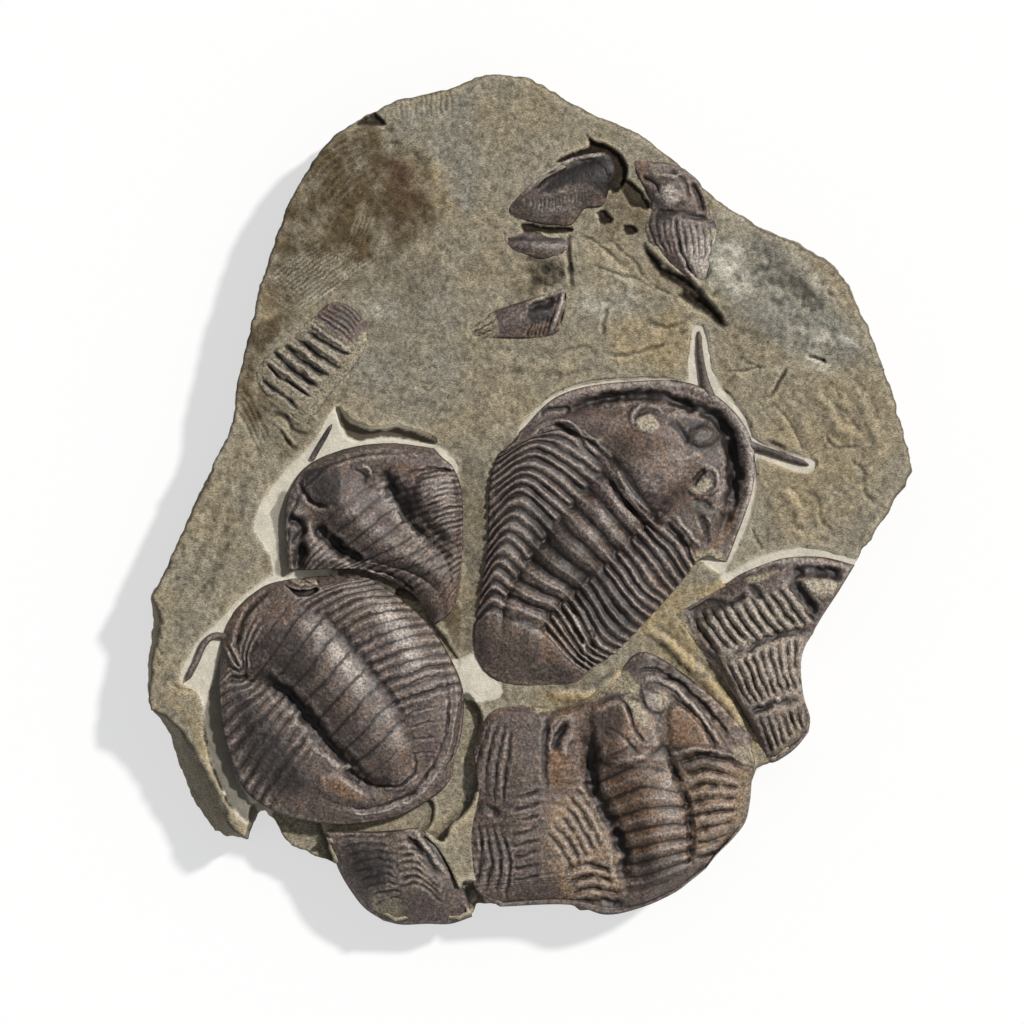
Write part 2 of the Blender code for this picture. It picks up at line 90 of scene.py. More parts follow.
# The slab's silhouette, clockwise from its top, and how far its face stops short of it, in steps.
SILHOUETTE = [
    (500, 72, 5), (527, 76, 5), (545, 85, 5), (577, 104, 5), (611, 119, 5), (646, 136, 4), (691, 173, 4),
    (703, 187, 4), (726, 204, 5), (754, 221, 6), (800, 241, 7), (829, 259, 7), (846, 276, 6), (857, 296, 6),
    (877, 344, 5), (894, 393, 5), (906, 433, 5), (915, 470, 6), (897, 501, 5), (863, 553, 4), (850, 573, 4),
    (819, 623, 4), (805, 647, 4), (800, 667, 4), (802, 685, 4), (805, 698, 4), (811, 719, 4), (810, 728, 4),
    (801, 742, 4), (790, 753, 4), (778, 760, 4), (757, 769, 4), (751, 788, 4), (749, 809, 4), (739, 832, 4),
    (722, 848, 4), (701, 869, 4), (682, 886, 4), (659, 897, 4), (634, 907, 4), (607, 912, 4), (580, 912, 4),
    (563, 899, 4), (546, 890, 4), (522, 898, 5), (499, 904, 4), (476, 906, 3), (471, 916, 3), (459, 922, 4),
    (429, 919, 4), (406, 921, 4), (394, 925, 4), (380, 916, 4), (366, 906, 4), (358, 901, 4), (348, 884, 4),
    (337, 866, 4), (323, 862, 4), (305, 854, 4), (291, 847, 4), (279, 834, 4), (270, 819, 4), (265, 812, 3),
    (258, 813, 3), (254, 820, 3), (249, 832, 5), (246, 841, 9), (226, 838, 18), (212, 835, 30),
    (200, 817, 30), (189, 798, 30), (181, 781, 29), (175, 759, 26), (167, 736, 18), (158, 721, 11),
    (149, 711, 5), (146, 699, 6), (145, 678, 9), (147, 651, 11), (149, 621, 14), (148, 607, 12),
    (149, 596, 7), (158, 579, 5), (166, 563, 5), (176, 540, 5), (211, 467, 5), (231, 421, 5), (237, 376, 5),
    (260, 279, 5), (288, 199, 5), (311, 160, 5), (331, 136, 5), (366, 113, 5), (406, 96, 5), (451, 87, 5),
    (474, 76, 5),
]  # fmt: skip

# Fossil nets: rows run from head to tail and points across each row from margin to margin, as
# (x, y) steps and the height in millimetres above the slab's underside.
LOWER_LEFT = [
    [(220, 660, 27), (222, 637, 26), (232, 612, 25), (250, 594, 25), (272, 582, 25), (312, 577, 26),
        (350, 575, 27)],
    [(220, 674, 29), (228, 655, 30), (240, 638, 31), (262, 614, 33), (288, 595, 33), (322, 584, 31),
        (360, 577, 28)],
    [(220, 690, 31), (233, 682, 32), (249, 676, 31), (275, 643, 37), (302, 607, 36), (338, 588, 34),
        (374, 580, 28)],
    [(224, 735, 31), (247, 712, 33), (275, 688, 32), (303, 656, 40), (330, 622, 38), (368, 602, 37),
        (403, 600, 29)],
    [(243, 787, 30), (268, 748, 33), (300, 707, 33), (327, 680, 41), (353, 649, 39), (394, 630, 38),
        (430, 625, 29)],
    [(272, 810, 28), (296, 775, 32), (324, 735, 33), (350, 706, 41), (377, 679, 39), (418, 663, 37),
        (450, 657, 29)],
    [(302, 820, 27), (322, 792, 31), (346, 757, 33), (371, 733, 40), (397, 709, 37), (434, 698, 35),
        (463, 690, 28)],
    [(340, 825, 26), (352, 803, 30), (367, 777, 32), (390, 758, 37), (410, 739, 35), (440, 733, 33),
        (462, 730, 27)],
    [(372, 822, 26), (378, 807, 28), (386, 790, 30), (401, 779, 33), (414, 767, 32), (437, 763, 30),
        (455, 757, 27)],
    [(398, 816, 25), (408, 812, 26), (418, 807, 26), (428, 801, 26), (438, 794, 26), (446, 786, 26),
        (452, 776, 25)],
]  # fmt: skip
UPPER_LEFT = [
    [(289, 570, 29), (285, 531, 29), (287, 499, 28), (304, 468, 26), (340, 449, 25), (387, 442, 25),
        (434, 448, 26)],
    [(293, 570, 31), (292, 535, 31), (300, 504, 30), (318, 478, 30), (348, 462, 31), (388, 456, 32),
        (442, 457, 30)],
    [(296, 570, 28), (304, 544, 30), (318, 521, 30), (341, 500, 35), (367, 482, 31), (408, 470, 33),
        (453, 467, 32)],
    [(307, 570, 31), (320, 556, 34), (337, 542, 31), (362, 521, 37), (387, 502, 30), (430, 490, 36),
        (461, 487, 31)],
    [(335, 569, 32), (346, 563, 33), (357, 556, 32), (384, 539, 38), (409, 522, 31), (441, 511, 36),
        (463, 508, 31)],
    [(363, 570, 31), (371, 566, 32), (379, 563, 34), (405, 555, 38), (430, 543, 33), (449, 535, 35),
        (463, 530, 31)],
    [(397, 584, 29), (405, 577, 33), (413, 573, 34), (429, 568, 37), (445, 560, 34), (455, 555, 34),
        (462, 552, 30)],
    [(419, 600, 29), (428, 595, 32), (437, 591, 33), (444, 587, 34), (451, 582, 33), (457, 577, 32),
        (461, 573, 30)],
    [(435, 625, 27), (441, 621, 29), (446, 617, 29), (450, 613, 30), (453, 608, 30), (456, 602, 29),
        (458, 596, 28)],
]  # fmt: skip
CENTRAL = [
    [(521, 430, 26), (560, 395, 27), (622, 382, 27), (696, 385, 27), (745, 426, 27), (754, 482, 27),
        (727, 563, 26)],
    [(518, 436, 28), (566, 412, 26), (625, 402, 27), (690, 405, 28), (727, 437, 27), (734, 484, 26),
        (717, 560, 27)],
    [(514, 442, 30), (569, 418, 30), (627, 428, 34), (676, 441, 35), (706, 470, 34), (714, 508, 31),
        (709, 556, 29)],
    [(508, 447, 30), (569, 426, 31), (612, 456, 33), (636, 486, 37), (657, 513, 33), (682, 534, 34),
        (697, 562, 29)],
    [(497, 458, 29), (540, 442, 33), (595, 478, 32.4), (618, 503, 38.4), (641, 530, 32.4), (664, 559, 34),
        (681, 583, 28)],
    [(490, 480, 29), (530, 466, 33), (574, 501, 32.4), (598, 525, 38.4), (620, 550, 32.4), (646, 584, 34),
        (665, 601, 28)],
    [(488, 506, 29), (521, 492, 33), (554, 524, 32.4), (578, 547, 38.4), (602, 569, 32.4), (629, 606, 34),
        (648, 620, 28)],
    [(488, 535, 29), (510, 525, 33), (535, 551, 32.4), (557, 570, 37), (581, 588, 32.4), (608, 627, 33),
        (628, 642, 28)],
    [(485, 566, 29), (499, 558, 33), (517, 577, 32.4), (540, 592, 36), (563, 604, 32.4), (590, 646, 32),
        (609, 658, 28)],
    [(480, 598, 29), (491, 594, 32), (504, 604, 33), (524, 611, 35), (547, 621, 33), (574, 654, 31),
        (592, 668, 28)],
    [(475, 629, 28), (487, 631, 31), (501, 637, 32), (522, 643, 33), (543, 650, 32), (564, 668, 30),
        (583, 677, 27)],
    [(475, 655, 26), (484, 671, 26), (499, 682, 26), (521, 687, 26), (543, 688, 26), (561, 687, 26),
        (578, 683, 26)],
]  # fmt: skip
LOWER_RIGHT = [
    [(473, 748, 25), (494, 707, 25), (565, 706, 26), (612, 678, 27), (645, 652, 27), (706, 691, 27),
        (751, 737, 26)],
    [(475, 766, 28), (500, 724, 29), (569, 720, 30), (619, 701, 31), (650, 680, 30), (697, 709, 30),
        (752, 750, 28)],
    [(477, 786, 28), (520, 765, 31), (588, 762, 29), (622, 748, 35), (667, 744, 33), (714, 745, 33),
        (755, 763, 27)],
    [(474, 806, 26), (520, 795, 31), (595, 793, 29), (640, 776, 37), (679, 783, 33), (722, 778, 33),
        (752, 781, 25)],
    [(468, 830, 26), (525, 825, 32), (609, 819, 30), (650, 808, 38), (687, 808, 33), (722, 803, 32),
        (750, 803, 25)],
    [(468, 855, 26), (530, 853, 32), (618, 844, 30), (655, 835, 37), (690, 832, 32), (717, 826, 31),
        (745, 823, 25)],
    [(471, 878, 26), (535, 876, 31), (623, 867, 30), (658, 859, 36), (690, 852, 31), (711, 845, 30),
        (732, 840, 24)],
    [(478, 893, 26), (542, 884, 29), (628, 886, 29), (660, 878, 33), (687, 868, 30), (701, 861, 28),
        (717, 855, 24)],
    [(500, 907, 24), (568, 905, 24), (606, 915, 24), (641, 908, 24), (673, 894, 24), (691, 881, 24),
        (706, 869, 24)],
]  # fmt: skip
RIGHT_EDGE = [
    [(855, 565, 26), (838, 592, 29), (819, 622, 27), (802, 655, 29), (803, 692, 27), (810, 717, 27),
        (809, 732, 24)],
    [(822, 557, 27), (812, 590, 31), (803, 629, 29), (790, 664, 32), (795, 697, 29), (800, 722, 29),
        (798, 746, 24)],
    [(785, 558, 27), (780, 592, 32), (783, 636, 30), (775, 670, 34), (783, 701, 30), (788, 727, 30),
        (786, 756, 24)],
    [(752, 569, 27), (749, 605, 32), (762, 641, 31), (759, 675, 34), (770, 704, 31), (776, 732, 31),
        (771, 763, 24)],
    [(726, 582, 25), (725, 612, 30), (738, 643, 31), (741, 672, 33), (752, 703, 31), (760, 730, 30),
        (763, 753, 25)],
    [(702, 596, 25), (706, 620, 28), (716, 645, 30), (725, 667, 31), (735, 688, 30), (742, 706, 29),
        (749, 723, 26)],
    [(686, 605, 25), (698, 624, 27), (708, 640, 28), (716, 655, 29), (722, 669, 28), (727, 680, 27),
        (731, 691, 26)],
    [(672, 614, 25), (678, 621, 25), (683, 628, 26), (688, 634, 26), (693, 640, 26), (698, 646, 26),
        (702, 652, 26)],
]  # fmt: skip
TOP_HEAD = [
    [(506, 204, 26), (509, 212, 28), (511, 219, 26)],
    [(527, 188, 27), (528, 204, 32), (528, 221, 27)],
    [(545, 172, 27), (547, 198, 34), (549, 225, 27)],
    [(567, 160, 27), (568, 190, 35), (571, 225, 28)],
    [(589, 154, 27), (587, 181, 35), (585, 209, 29)],
    [(603, 152, 27), (603, 176, 34), (602, 206, 28)],
    [(612, 156, 26), (615, 171, 31), (610, 190, 27)],
]  # fmt: skip
TOP_RIM = [
    [(503, 236, 25), (505, 243, 26), (507, 250, 25)],
    [(528, 231, 26), (530, 245, 31), (533, 258, 27)],
    [(552, 235, 26), (552, 247, 31), (552, 259, 27)],
    [(569, 236, 25), (569, 246, 27), (568, 256, 25)],
]  # fmt: skip
TOP_TAIL = [
    [(466, 331, 25), (468, 334, 26), (471, 337, 25)],
    [(491, 313, 27), (493, 325, 31), (494, 338, 28)],
    [(530, 299, 27), (530, 318, 33), (530, 338, 28)],
    [(556, 291, 27), (556, 312, 32), (552, 335, 28)],
    [(570, 285, 26), (568, 305, 28), (563, 327, 26)],
]  # fmt: skip
TOP_FAN = [
    [(631, 158, 26), (649, 161, 27), (668, 163, 27), (685, 169, 26)],
    [(637, 174, 27), (656, 178, 31), (678, 181, 31), (700, 183, 27)],
    [(646, 191, 27), (663, 195, 33), (685, 199, 32), (706, 202, 28)],
    [(651, 209, 27), (669, 211, 31), (690, 214, 31), (712, 217, 27)],
    [(643, 227, 27), (665, 229, 33), (691, 231, 34), (717, 229, 28)],
    [(650, 246, 27), (670, 249, 32), (694, 251, 34), (716, 249, 29)],
    [(663, 261, 27), (681, 266, 30), (698, 268, 32), (712, 265, 28)],
    [(688, 280, 26), (696, 283, 27), (704, 285, 27), (711, 283, 26)],
]  # fmt: skip
LEFT_RIBS = [
    [(331, 300, 27), (349, 306, 29), (367, 320, 27)],
    [(316, 314, 27), (338, 329, 32), (366, 345, 27)],
    [(300, 328, 27), (322, 345, 32), (354, 366, 27)],
    [(284, 342, 27), (305, 360, 32), (339, 384, 27)],
    [(268, 356, 27), (290, 375, 31), (326, 400, 27)],
    [(258, 369, 27), (278, 389, 30), (314, 416, 27)],
    [(256, 382, 26), (272, 400, 27), (302, 428, 26)],
]  # fmt: skip
BOTTOM = [
    [(325, 832, 23), (350, 832, 24), (378, 832, 24), (402, 830, 25), (419, 828, 24)],
    [(331, 848, 23), (356, 848, 27), (385, 848, 28), (412, 845, 29), (436, 841, 25)],
    [(338, 870, 22), (364, 868, 28), (395, 868, 30), (425, 865, 30), (449, 858, 25)],
    [(350, 891, 22), (375, 889, 28), (405, 888, 30), (436, 885, 29), (460, 881, 24)],
    [(364, 909, 21), (388, 906, 25), (412, 905, 27), (442, 903, 26), (468, 900, 22)],
    [(383, 922, 20), (402, 926, 20), (426, 925, 21), (450, 925, 21), (472, 918, 20)],
]  # fmt: skip

# Spines: (x, y, half width, height in mm) along the ridge, from inside the head to the tip.
CENTRAL_SPINES = [
    [(709, 397, 6.5, 27.6), (704, 378, 4.4, 27.0), (700, 354, 3.4, 26.8), (699, 331, 2.6, 26.4)],
    [(741, 442, 5.5, 27.6), (758, 448, 4.2, 27.0), (782, 456, 3.8, 26.8), (809, 465, 2.8, 26.4)],
]  # fmt: skip
LOWER_LEFT_SPINES = [
    [(228, 637, 3.4, 27), (214, 636, 3.4, 27.4), (204, 644, 3.3, 27.4), (196, 662, 3.1, 27.2),
        (186, 681, 3, 26.8)],
]  # fmt: skip
UPPER_LEFT_SPINES = [
    [(312, 459, 2.6, 26.6), (317, 450, 2.6, 26.6), (324, 438, 2.6, 26.4), (332, 424, 1.6, 26.2)],
]

# ---- Shapes in plan -------------------------------------------------------------------------------------

# Points that a smooth line is worked out at, for each point that it is given.
CURVE_SAMPLES = 8
# A length that is too short to divide by.
TINY = 1e-9


def metres(points):
    """World x and y of plan points."""
    return (np.asarray(points, float) - CENTRE) * (STEP, -STEP)


def spline(points, at):
    """The points of a Catmull-Rom curve through the rows of points, at fractional row numbers."""
    points = np.concatenate([2 * points[:1] - points[1:2], points, 2 * points[-1:] - points[-2:-1]])
    first = np.clip(np.floor(at).astype(int), 0, len(points) - 4)
    t = (at - first).reshape((-1,) + (1,) * (points.ndim - 1))
    a, b, c, d = (points[first + k] for k in range(4))
    return 0.5 * (2 * b + (c - a) * t + (2 * a - 5 * b + 4 * c - d) * t**2 + (3 * (b - c) + d - a) * t**3)


def evenly(points, spacing, closed=False):
    """Points set evenly along a chain of straight runs."""
    if closed:
        points = np.concatenate([points, points[:1]])
    run = np.concatenate([[0], np.cumsum(np.linalg.norm(np.diff(points[:, :2], axis=0), axis=1))])
    at = np.linspace(0, run[-1], max(int(run[-1] / spacing), 2) + 1)
    if closed:
        at = at[:-1]
    return np.stack([np.interp(at, run, column) for column in points.T], axis=1)


def paired(numbers):
    """Plan points, one to a row, from a list that gives them as x, y, x, y or as pairs."""
    return np.reshape(numbers, (-1, 2)).astype(float)


def curve(points, spacing=2.0):
    """An open smooth line through a few points."""
    points = paired(points)
    return evenly(spline(points, np.linspace(0, len(points) - 1, CURVE_SAMPLES * len(points))), spacing)


def fan(first, last, count):
    """A number of lines spread evenly from a first to a last one, which have as many points as each other."""
    first, last = paired(first), paired(last)
    return [first + (last - first) * share for share in np.linspace(0, 1, count)]


def creases(width, rise, lines):
    """A crease mark along each of a number of lines."""
    return [("crease", width, rise, line) for line in lines]


def disc(x, y, radius, corners=10):
    """Outline of a round spot."""
    turn = np.linspace(0, 2 * math.pi, corners, endpoint=False)
    return [(x + radius * math.cos(angle), y + radius * math.sin(angle)) for angle in turn]


def loop_curve(points, spacing):
    """A closed smooth outline through a few points."""
    points = paired(points)
    wrapped = np.concatenate([points[-2:], points, points[:2]])
    smooth = spline(wrapped, np.linspace(2, len(points) + 2, CURVE_SAMPLES * len(points), endpoint=False))
    return evenly(smooth, spacing, closed=True)


def signed_area(loop):
    """Area of a closed outline, above 0 where its points run anticlockwise with y up."""
    ahead = np.roll(loop, -1, axis=0)
    return 0.5 * np.sum(loop[:, 0] * ahead[:, 1] - ahead[:, 0] * loop[:, 1])


def outward(loop):
    """Unit vectors that point out of a closed outline, one for each of its points."""
    run = np.roll(loop, -1, axis=0) - np.roll(loop, 1, axis=0)
    out = np.stack([run[:, 1], -run[:, 0]], axis=1) * np.sign(signed_area(loop))
    return out / np.maximum(np.linalg.norm(out, axis=1, keepdims=True), TINY)


def near(points, line, reach):
    """The points within reach of a line: their indices, their distance (negative on one side of it) and their
    share of the way along it."""
    low, high = line.min(axis=0) - reach, line.max(axis=0) + reach
    at = np.flatnonzero(np.all((points > low) & (points < high), axis=1))
    at = at[np.argsort(points[at, 0], kind="stable")]
    here = points[at]
    across = here[:, 0].copy()
    best = np.full(len(at), float(reach))
    signed, share = best.copy(), np.zeros(len(at))
    steps = np.diff(line, axis=0)
    lengths = np.maximum(np.linalg.norm(steps, axis=1), TINY)
    starts = np.concatenate([[0], np.cumsum(lengths)])
    ends_x = np.stack([line[:-1, 0], line[1:, 0]])
    lefts = np.searchsorted(across, ends_x.min(axis=0) - reach)
    rights = np.searchsorted(across, ends_x.max(axis=0) + reach)
    for first, step, length, start, left, right in zip(line[:-1], steps, lengths, starts, lefts, rights):
        offset = here[left:right] - first
        along = np.clip(offset @ step / length**2, 0, 1)
        gap = offset - along[:, None] * step
        distance = np.hypot(gap[:, 0], gap[:, 1])
        closer = np.flatnonzero(distance < best[left:right])
        distance = distance[closer]
        side = np.sign(step[0] * offset[closer, 1] - step[1] * offset[closer, 0])
        best[left + closer] = distance
        signed[left + closer] = distance * side
        share[left + closer] = (start + along[closer] * length) / starts[-1]
    found = best < reach
    return at[found], signed[found], share[found]


def is_inside(points, loop):
    """Whether each point is inside a closed outline."""
    order = np.argsort(points[:, 1], kind="stable")
    x, y = points[order].T
    crossed = np.zeros(len(points), bool)
    ahead = np.roll(loop, -1, axis=0)
    lows = np.searchsorted(y, np.minimum(loop[:, 1], ahead[:, 1]))
    highs = np.searchsorted(y, np.maximum(loop[:, 1], ahead[:, 1]))
    for (x0, y0), (x1, y1), low, high in zip(loop, ahead, lows, highs):
        if low < high:
            crossed[low:high] ^= x[low:high] < (x1 - x0) * (y[low:high] - y0) / (y1 - y0) + x0
    inside = np.zeros(len(points), bool)
    inside[order] = crossed
    return inside


def depth_inside(points, loop, reach):
    """How far each point is inside a closed outline, up to reach, and negative for points outside it."""
    inside = is_inside(points, loop)
    depth = np.where(inside, reach, -reach).astype(float)
    close, distance, _ = near(points, np.concatenate([loop, loop[:1]]), reach)
    depth[close] = np.abs(distance) * np.where(inside[close], 1, -1)
    return depth


def eased(value, low=0.0, high=1.0):
    """0 below low, 1 above high and smooth between them."""
    share = np.clip((value - low) / (high - low), 0, 1)
    return share * share * (3 - 2 * share)


# ---- Roughness ------------------------------------------------------------------------------------------

# Large odd numbers that scatter a lattice point's column, row and seed.
COLUMN_MIX, ROW_MIX, SEED_MIX, LAST_MIX = 374761393, 668265263, 974634777, 1274126177
# Marks waver by so many steps in swells of a size in mm, and lines wear thin by a share in swells of a size.
WAVER, WAVER_SIZE = 1.05, 3.6
WEAR, WEAR_SIZE = 0.5, 4.5
# Shares of a line's length between which it comes up from each end, and the share of a ledge's width that
# its edge takes.
LINE_ENDS = (-0.02, 0.22)
LEDGE_EDGE = 0.12
CREASE_POWER = 1.3


def lattice(column, row, seed):
    """A fixed random value from -1 to 1 for each point of a lattice."""
    mixed = (column * COLUMN_MIX + row * ROW_MIX + seed * SEED_MIX) & 0xFFFFFFFF
    mixed = ((mixed ^ (mixed >> 13)) * LAST_MIX) & 0xFFFFFFFF
    return ((mixed ^ (mixed >> 16)) & 0xFFFF) / 32767.5 - 1


def noise(x, y, seed):
    """Smooth noise from -1 to 1, with about one swell to each unit."""
    column, row = np.floor(x).astype(np.int64), np.floor(y).astype(np.int64)
    u, v = eased(x - column), eased(y - row)
    low = lattice(column, row, seed) * (1 - u) + lattice(column + 1, row, seed) * u
    high = lattice(column, row + 1, seed) * (1 - u) + lattice(column + 1, row + 1, seed) * u
    return low * (1 - v) + high * v


def rough(points, size_mm, octaves, seed):
    """Swells of a given size with finer ones on them, each half the size and height of the last."""
    x, y = points.T * STEP_MM / size_mm
    total = np.zeros(len(points))
    for octave in range(octaves):
        total += noise(x, y, seed + 31 * octave) * 0.5**octave
        # Twice as fine, turned and shifted, so that the octaves' lattices don't line up.
        x, y = 1.6 * x - 1.2 * y + 17.3, 1.2 * x + 1.6 * y - 9.1
    return total


def grain(points, swells, seed=0):
    """The sum of some swells, each (rise in mm, size in mm, octaves, seed)."""
    return sum(rise * rough(points, size, octaves, seed + own) for rise, size, octaves, own in swells)


def apply_marks(points, height, marks):
    """Works marks into a surface. Each is (kind, width in steps, rise in mm, points), and a negative rise
    cuts in. A ridge is a round swell along a line and a crease a sharp one, a ledge lifts one side of a line
    and falls away from it, and a mound fills a closed outline."""
    wavering = np.stack([rough(points, WAVER_SIZE, 2, seed) for seed in (71, 72)], axis=1)
    worn = 1 + WEAR * rough(points, WEAR_SIZE, 2, 73)
    points = points + WAVER * wavering
    for kind, width, rise, line in marks:
        if kind == "mound":
            height += rise * eased(depth_inside(points, loop_curve(line, 2.0), width), 0, width)
            continue
        at, distance, share = near(points, curve(line), width)
        across = np.abs(distance) / width
        ends = eased(np.minimum(share, 1 - share), *LINE_ENDS) * worn[at]
        if kind == "ridge":
            form = (1 - across**2) ** 2
        elif kind == "crease":
            form = (1 - across) ** CREASE_POWER
        else:
            form = np.where(distance > 0, (1 - across) * eased(across, 0, LEDGE_EDGE), 0)
        height[at] += rise * ends * form


def masked(points, marks):
    """How strongly each point is covered by a set of marks, from 0 to 1."""
    cover = np.zeros(len(points))
    apply_marks(points, cover, marks)
    return np.clip(cover, 0, 1)


# ---- Meshes ---------------------------------------------------------------------------------------------

# The bake map: the share of its width that the upper faces take, the margin round them, and how much of the
# strip beside them the underside fills.
BAKE_SHARE = 0.86
BAKE_MARGIN = 0.01
UNDER_SHARE = 0.9


def ring_of(rows, columns):
    """Indices of a grid's border, in order round it."""
    index = np.arange(rows * columns).reshape(rows, columns)
    return np.concatenate([index[0], index[1:, -1], index[-1, -2::-1], index[-2:0:-1, 0]])


def walls_between(upper, lower):
    """Faces that join two closed rings of the same number of points, facing out of an anticlockwise ring."""
    upper, lower = np.asarray(upper), np.asarray(lower)
    return np.stack([upper, lower, np.roll(lower, -1), np.roll(upper, -1)], axis=1)


def blurred(values, reach):
    """Each value of a grid as the mean of a square of its neighbours."""
    side = 2 * reach + 1
    total = np.pad(values, ((reach + 1, reach), (reach + 1, reach)), mode="edge")
    total = np.cumsum(np.cumsum(total, axis=0), axis=1)
    sums = total[side:, side:] - total[:-side, side:] - total[side:, :-side] + total[:-side, :-side]
    return sums / side**2


def add_piece(name, points, faces, places, under, under_places, masks, finish, node):
    """Makes one piece of the object: its mesh, bake map, masks and material, riding on the root body, and
    hides the imported part of its node. The faces in under are flat ones of the underside, which have places
    of their own on the bake map."""
    mesh = bpy.data.meshes.new(name)
    faces = [*faces, *under]
    sizes = np.array([len(face) for face in faces])
    corners = np.fromiter((corner for face in faces for corner in face), np.int32, sizes.sum())
    mesh.vertices.add(len(points))
    mesh.vertices.foreach_set("co", points.astype(np.float32).ravel())
    mesh.loops.add(len(corners))
    mesh.loops.foreach_set("vertex_index", corners)
    mesh.polygons.add(len(sizes))
    mesh.polygons.foreach_set("loop_start", np.concatenate([[0], np.cumsum(sizes)[:-1]]).astype(np.int32))
    mesh.polygons.foreach_set("loop_total", sizes.astype(np.int32))
    upper = np.arange(len(sizes)) < len(sizes) - len(under)
    mesh.polygons.foreach_set("use_smooth", upper)
    mesh.update(calc_edges=True)
    bake_map = mesh.uv_layers.new(name="OFBake")
    on_top = np.repeat(upper, sizes)[:, None]
    bake_places = np.where(on_top, places[corners], under_places[corners])
    bake_map.uv.foreach_set("vector", bake_places.astype(np.float32).ravel())
    for mask, values in masks.items():
        attribute = mesh.attributes.new(mask, "FLOAT", "POINT")
        attribute.data.foreach_set("value", values.astype(np.float32))
    mesh.materials.append(finish)
    piece = bpy.data.objects.new(name, mesh)
    bpy.context.scene.collection.objects.link(piece)
    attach(piece, "root")
    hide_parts(node)
    return piece


def bake_places(plan, spread):
    """Places on the bake map: the face at one scale, pushed out where spread says so, and the underside small
    in the strip beside it."""
    middle = (plan.min(axis=0) + plan.max(axis=0)) / 2
    places = plan + spread
    size = (places.max(axis=0) - places.min(axis=0)).max()
    above = (places - places.min(axis=0)) / size * (BAKE_SHARE - 2 * BAKE_MARGIN) + BAKE_MARGIN
    strip = 1 - BAKE_SHARE
    below = (plan - middle) / size * strip * UNDER_SHARE + (1 - strip / 2, 0.5)
    return above, below


# ---- Fossils --------------------------------------------------------------------------------------------


@dataclass
class Fossil:
    """One fossil: the node it stands for, its name, its net, the relief of its segments, how it is bedded,
    and the marks, tints and spines on it. Where a setting has two values they are for the middle lobe's rings
    and for the ribs, and in rib_ends and bend for the net's first and last side."""

    node: str
    name: str
    net: list
    # The first and last net row of the segments, and their number.
    segments: tuple
    # Depth in mm of the furrows between rings, between ribs, and along both sides of the middle lobe.
    ring: float = 0.0
    rib: float = 0.0
    furrow: float = 0.0
    # Above 1 the crests are narrow between broad furrows.
    peaked: tuple = (1.0, 1.0)
    # Depth of a second furrow along each ring's back, as a share of the first.
    twin: float = 0.0
    # How strongly painted shade darkens the furrows.
    furrow_shade_strength: tuple = (0.0, 0.0)
    # The last segment that has ribs, and how many segments back the ribs' tips bend.
    rib_ends: tuple = (99.0, 99.0)
    bend: tuple = (0.0, 0.0)
    # How far the ribs are shifted along from the rings, in furrows.
    offset: float = 0.0
    # Height in mm that the surface doesn't go below near its border.
    low: float = 25.5
    # A height in mm, and the share of the net's relief about it that is left.
    flatten: tuple = (0.0, 1.0)
    # How many grid lines inside the border the rim of its pocket lies.
    pocket_inset: int = 2
    # Its grid's spacing, as a multiple of the others'.
    coarse: float = 1.0
    marks: list = field(default_factory=list)
    tints: dict = field(default_factory=dict)
    spines: list = field(default_factory=list)
    # Height in mm that its border drops to before it slopes in to its base.
    foot: float = 19.5
    seed: int = 0


# Net columns: the middle lobe's, how far its edges lie from it, and the two that furrows run along.
MIDDLE_COLUMN = 3
LOBE_EDGE = 1.08
FURROW_COLUMNS = (2, 4)
# Noise that shifts the segments' phase, as (size in mm, share of a segment).
PHASE_SHIFTS = ((9, 0.06), (2.5, 0.025))
# Over which stretch the segments come up at their start and fade at their end, and the ribs at theirs, in
# segments, and how soft the middle lobe's edge is in columns.
SEGMENT_FADE = (-0.3, 0.35)
RIB_FADE = 1.5
LOBE_SOFTNESS = 0.16
# Segments are worn unevenly: the size of the patches in mm, and a share of the depth.
SEGMENT_WEAR = (7, 0.4)
# How much deeper one of each segment's two rib furrows is than their mean.
RIB_SWING = 0.25
# The furrow depths from which painted shade shows, between rings and between ribs.
FURROW_SHADE_DEPTHS = (0.66, 0.5)
# These two furrows' width in columns at the tail, and how much wider they are at the head.
FURROW_WIDTH, FURROW_WIDENING = 0.17, 0.1
# Over which shares of the fossil's length the furrows come up from the head and from the tail.
FURROW_STARTS, FURROW_ENDS = (0.12, 0.3), (0.05, 0.25)
# A shell's grain, as (rise in mm, size in mm, octaves, seed).
SHELL_GRAIN = ((0.14, 5, 3, 11), (0.11, 1.3, 2, 17))
# A spine's section: the points over its back, and the share of its height that its upright sides take.
BACK_POINTS = 13
SPINE_SIDES = 0.3
# Points along a spine for each that it is given, and its grain.
SPINE_SAMPLES = 16
SPINE_GRAIN = ((0.15, 1.2, 2, 3),)
# Grid lines from a fossil's border to its base, and how a fossil's edge is rounded off: the share of its
# height that each line from the border in keeps, out of EDGE_DROP mm.
BASE_LINES = 7
EDGE_SHARES = (0.0, 0.45, 0.75, 0.92)
EDGE_DROP = 0.8
# How much lower the surface may come with each grid line further in than its base, in mm.
LOW_SLOPE = 0.4
# The most of a wall's height that the lip takes, where the wall is low.
LIP_SHARE = 0.6
# Height in mm of the foot of a spine, which stands in a channel.
SPINE_FOOT = CHANNEL_FLOOR - 0.4
# Painted shade in hollows and a paler paint on crests: (reach in grid lines, depth in mm, strength).
HOLLOW_SIZES = ((2, 0.14, 0.35), (4, 0.4, 0.4), (10, 1.2, 0.4))
# How far the lip, the skirt and the base are pushed out on the bake map, in steps.
BAKE_RINGS = (4, 12, 24)
# Strength of the painted shade on a fossil's walls and on its spines.
WALL_SHADE = 0.4
SPINE_SHADE = 0.2


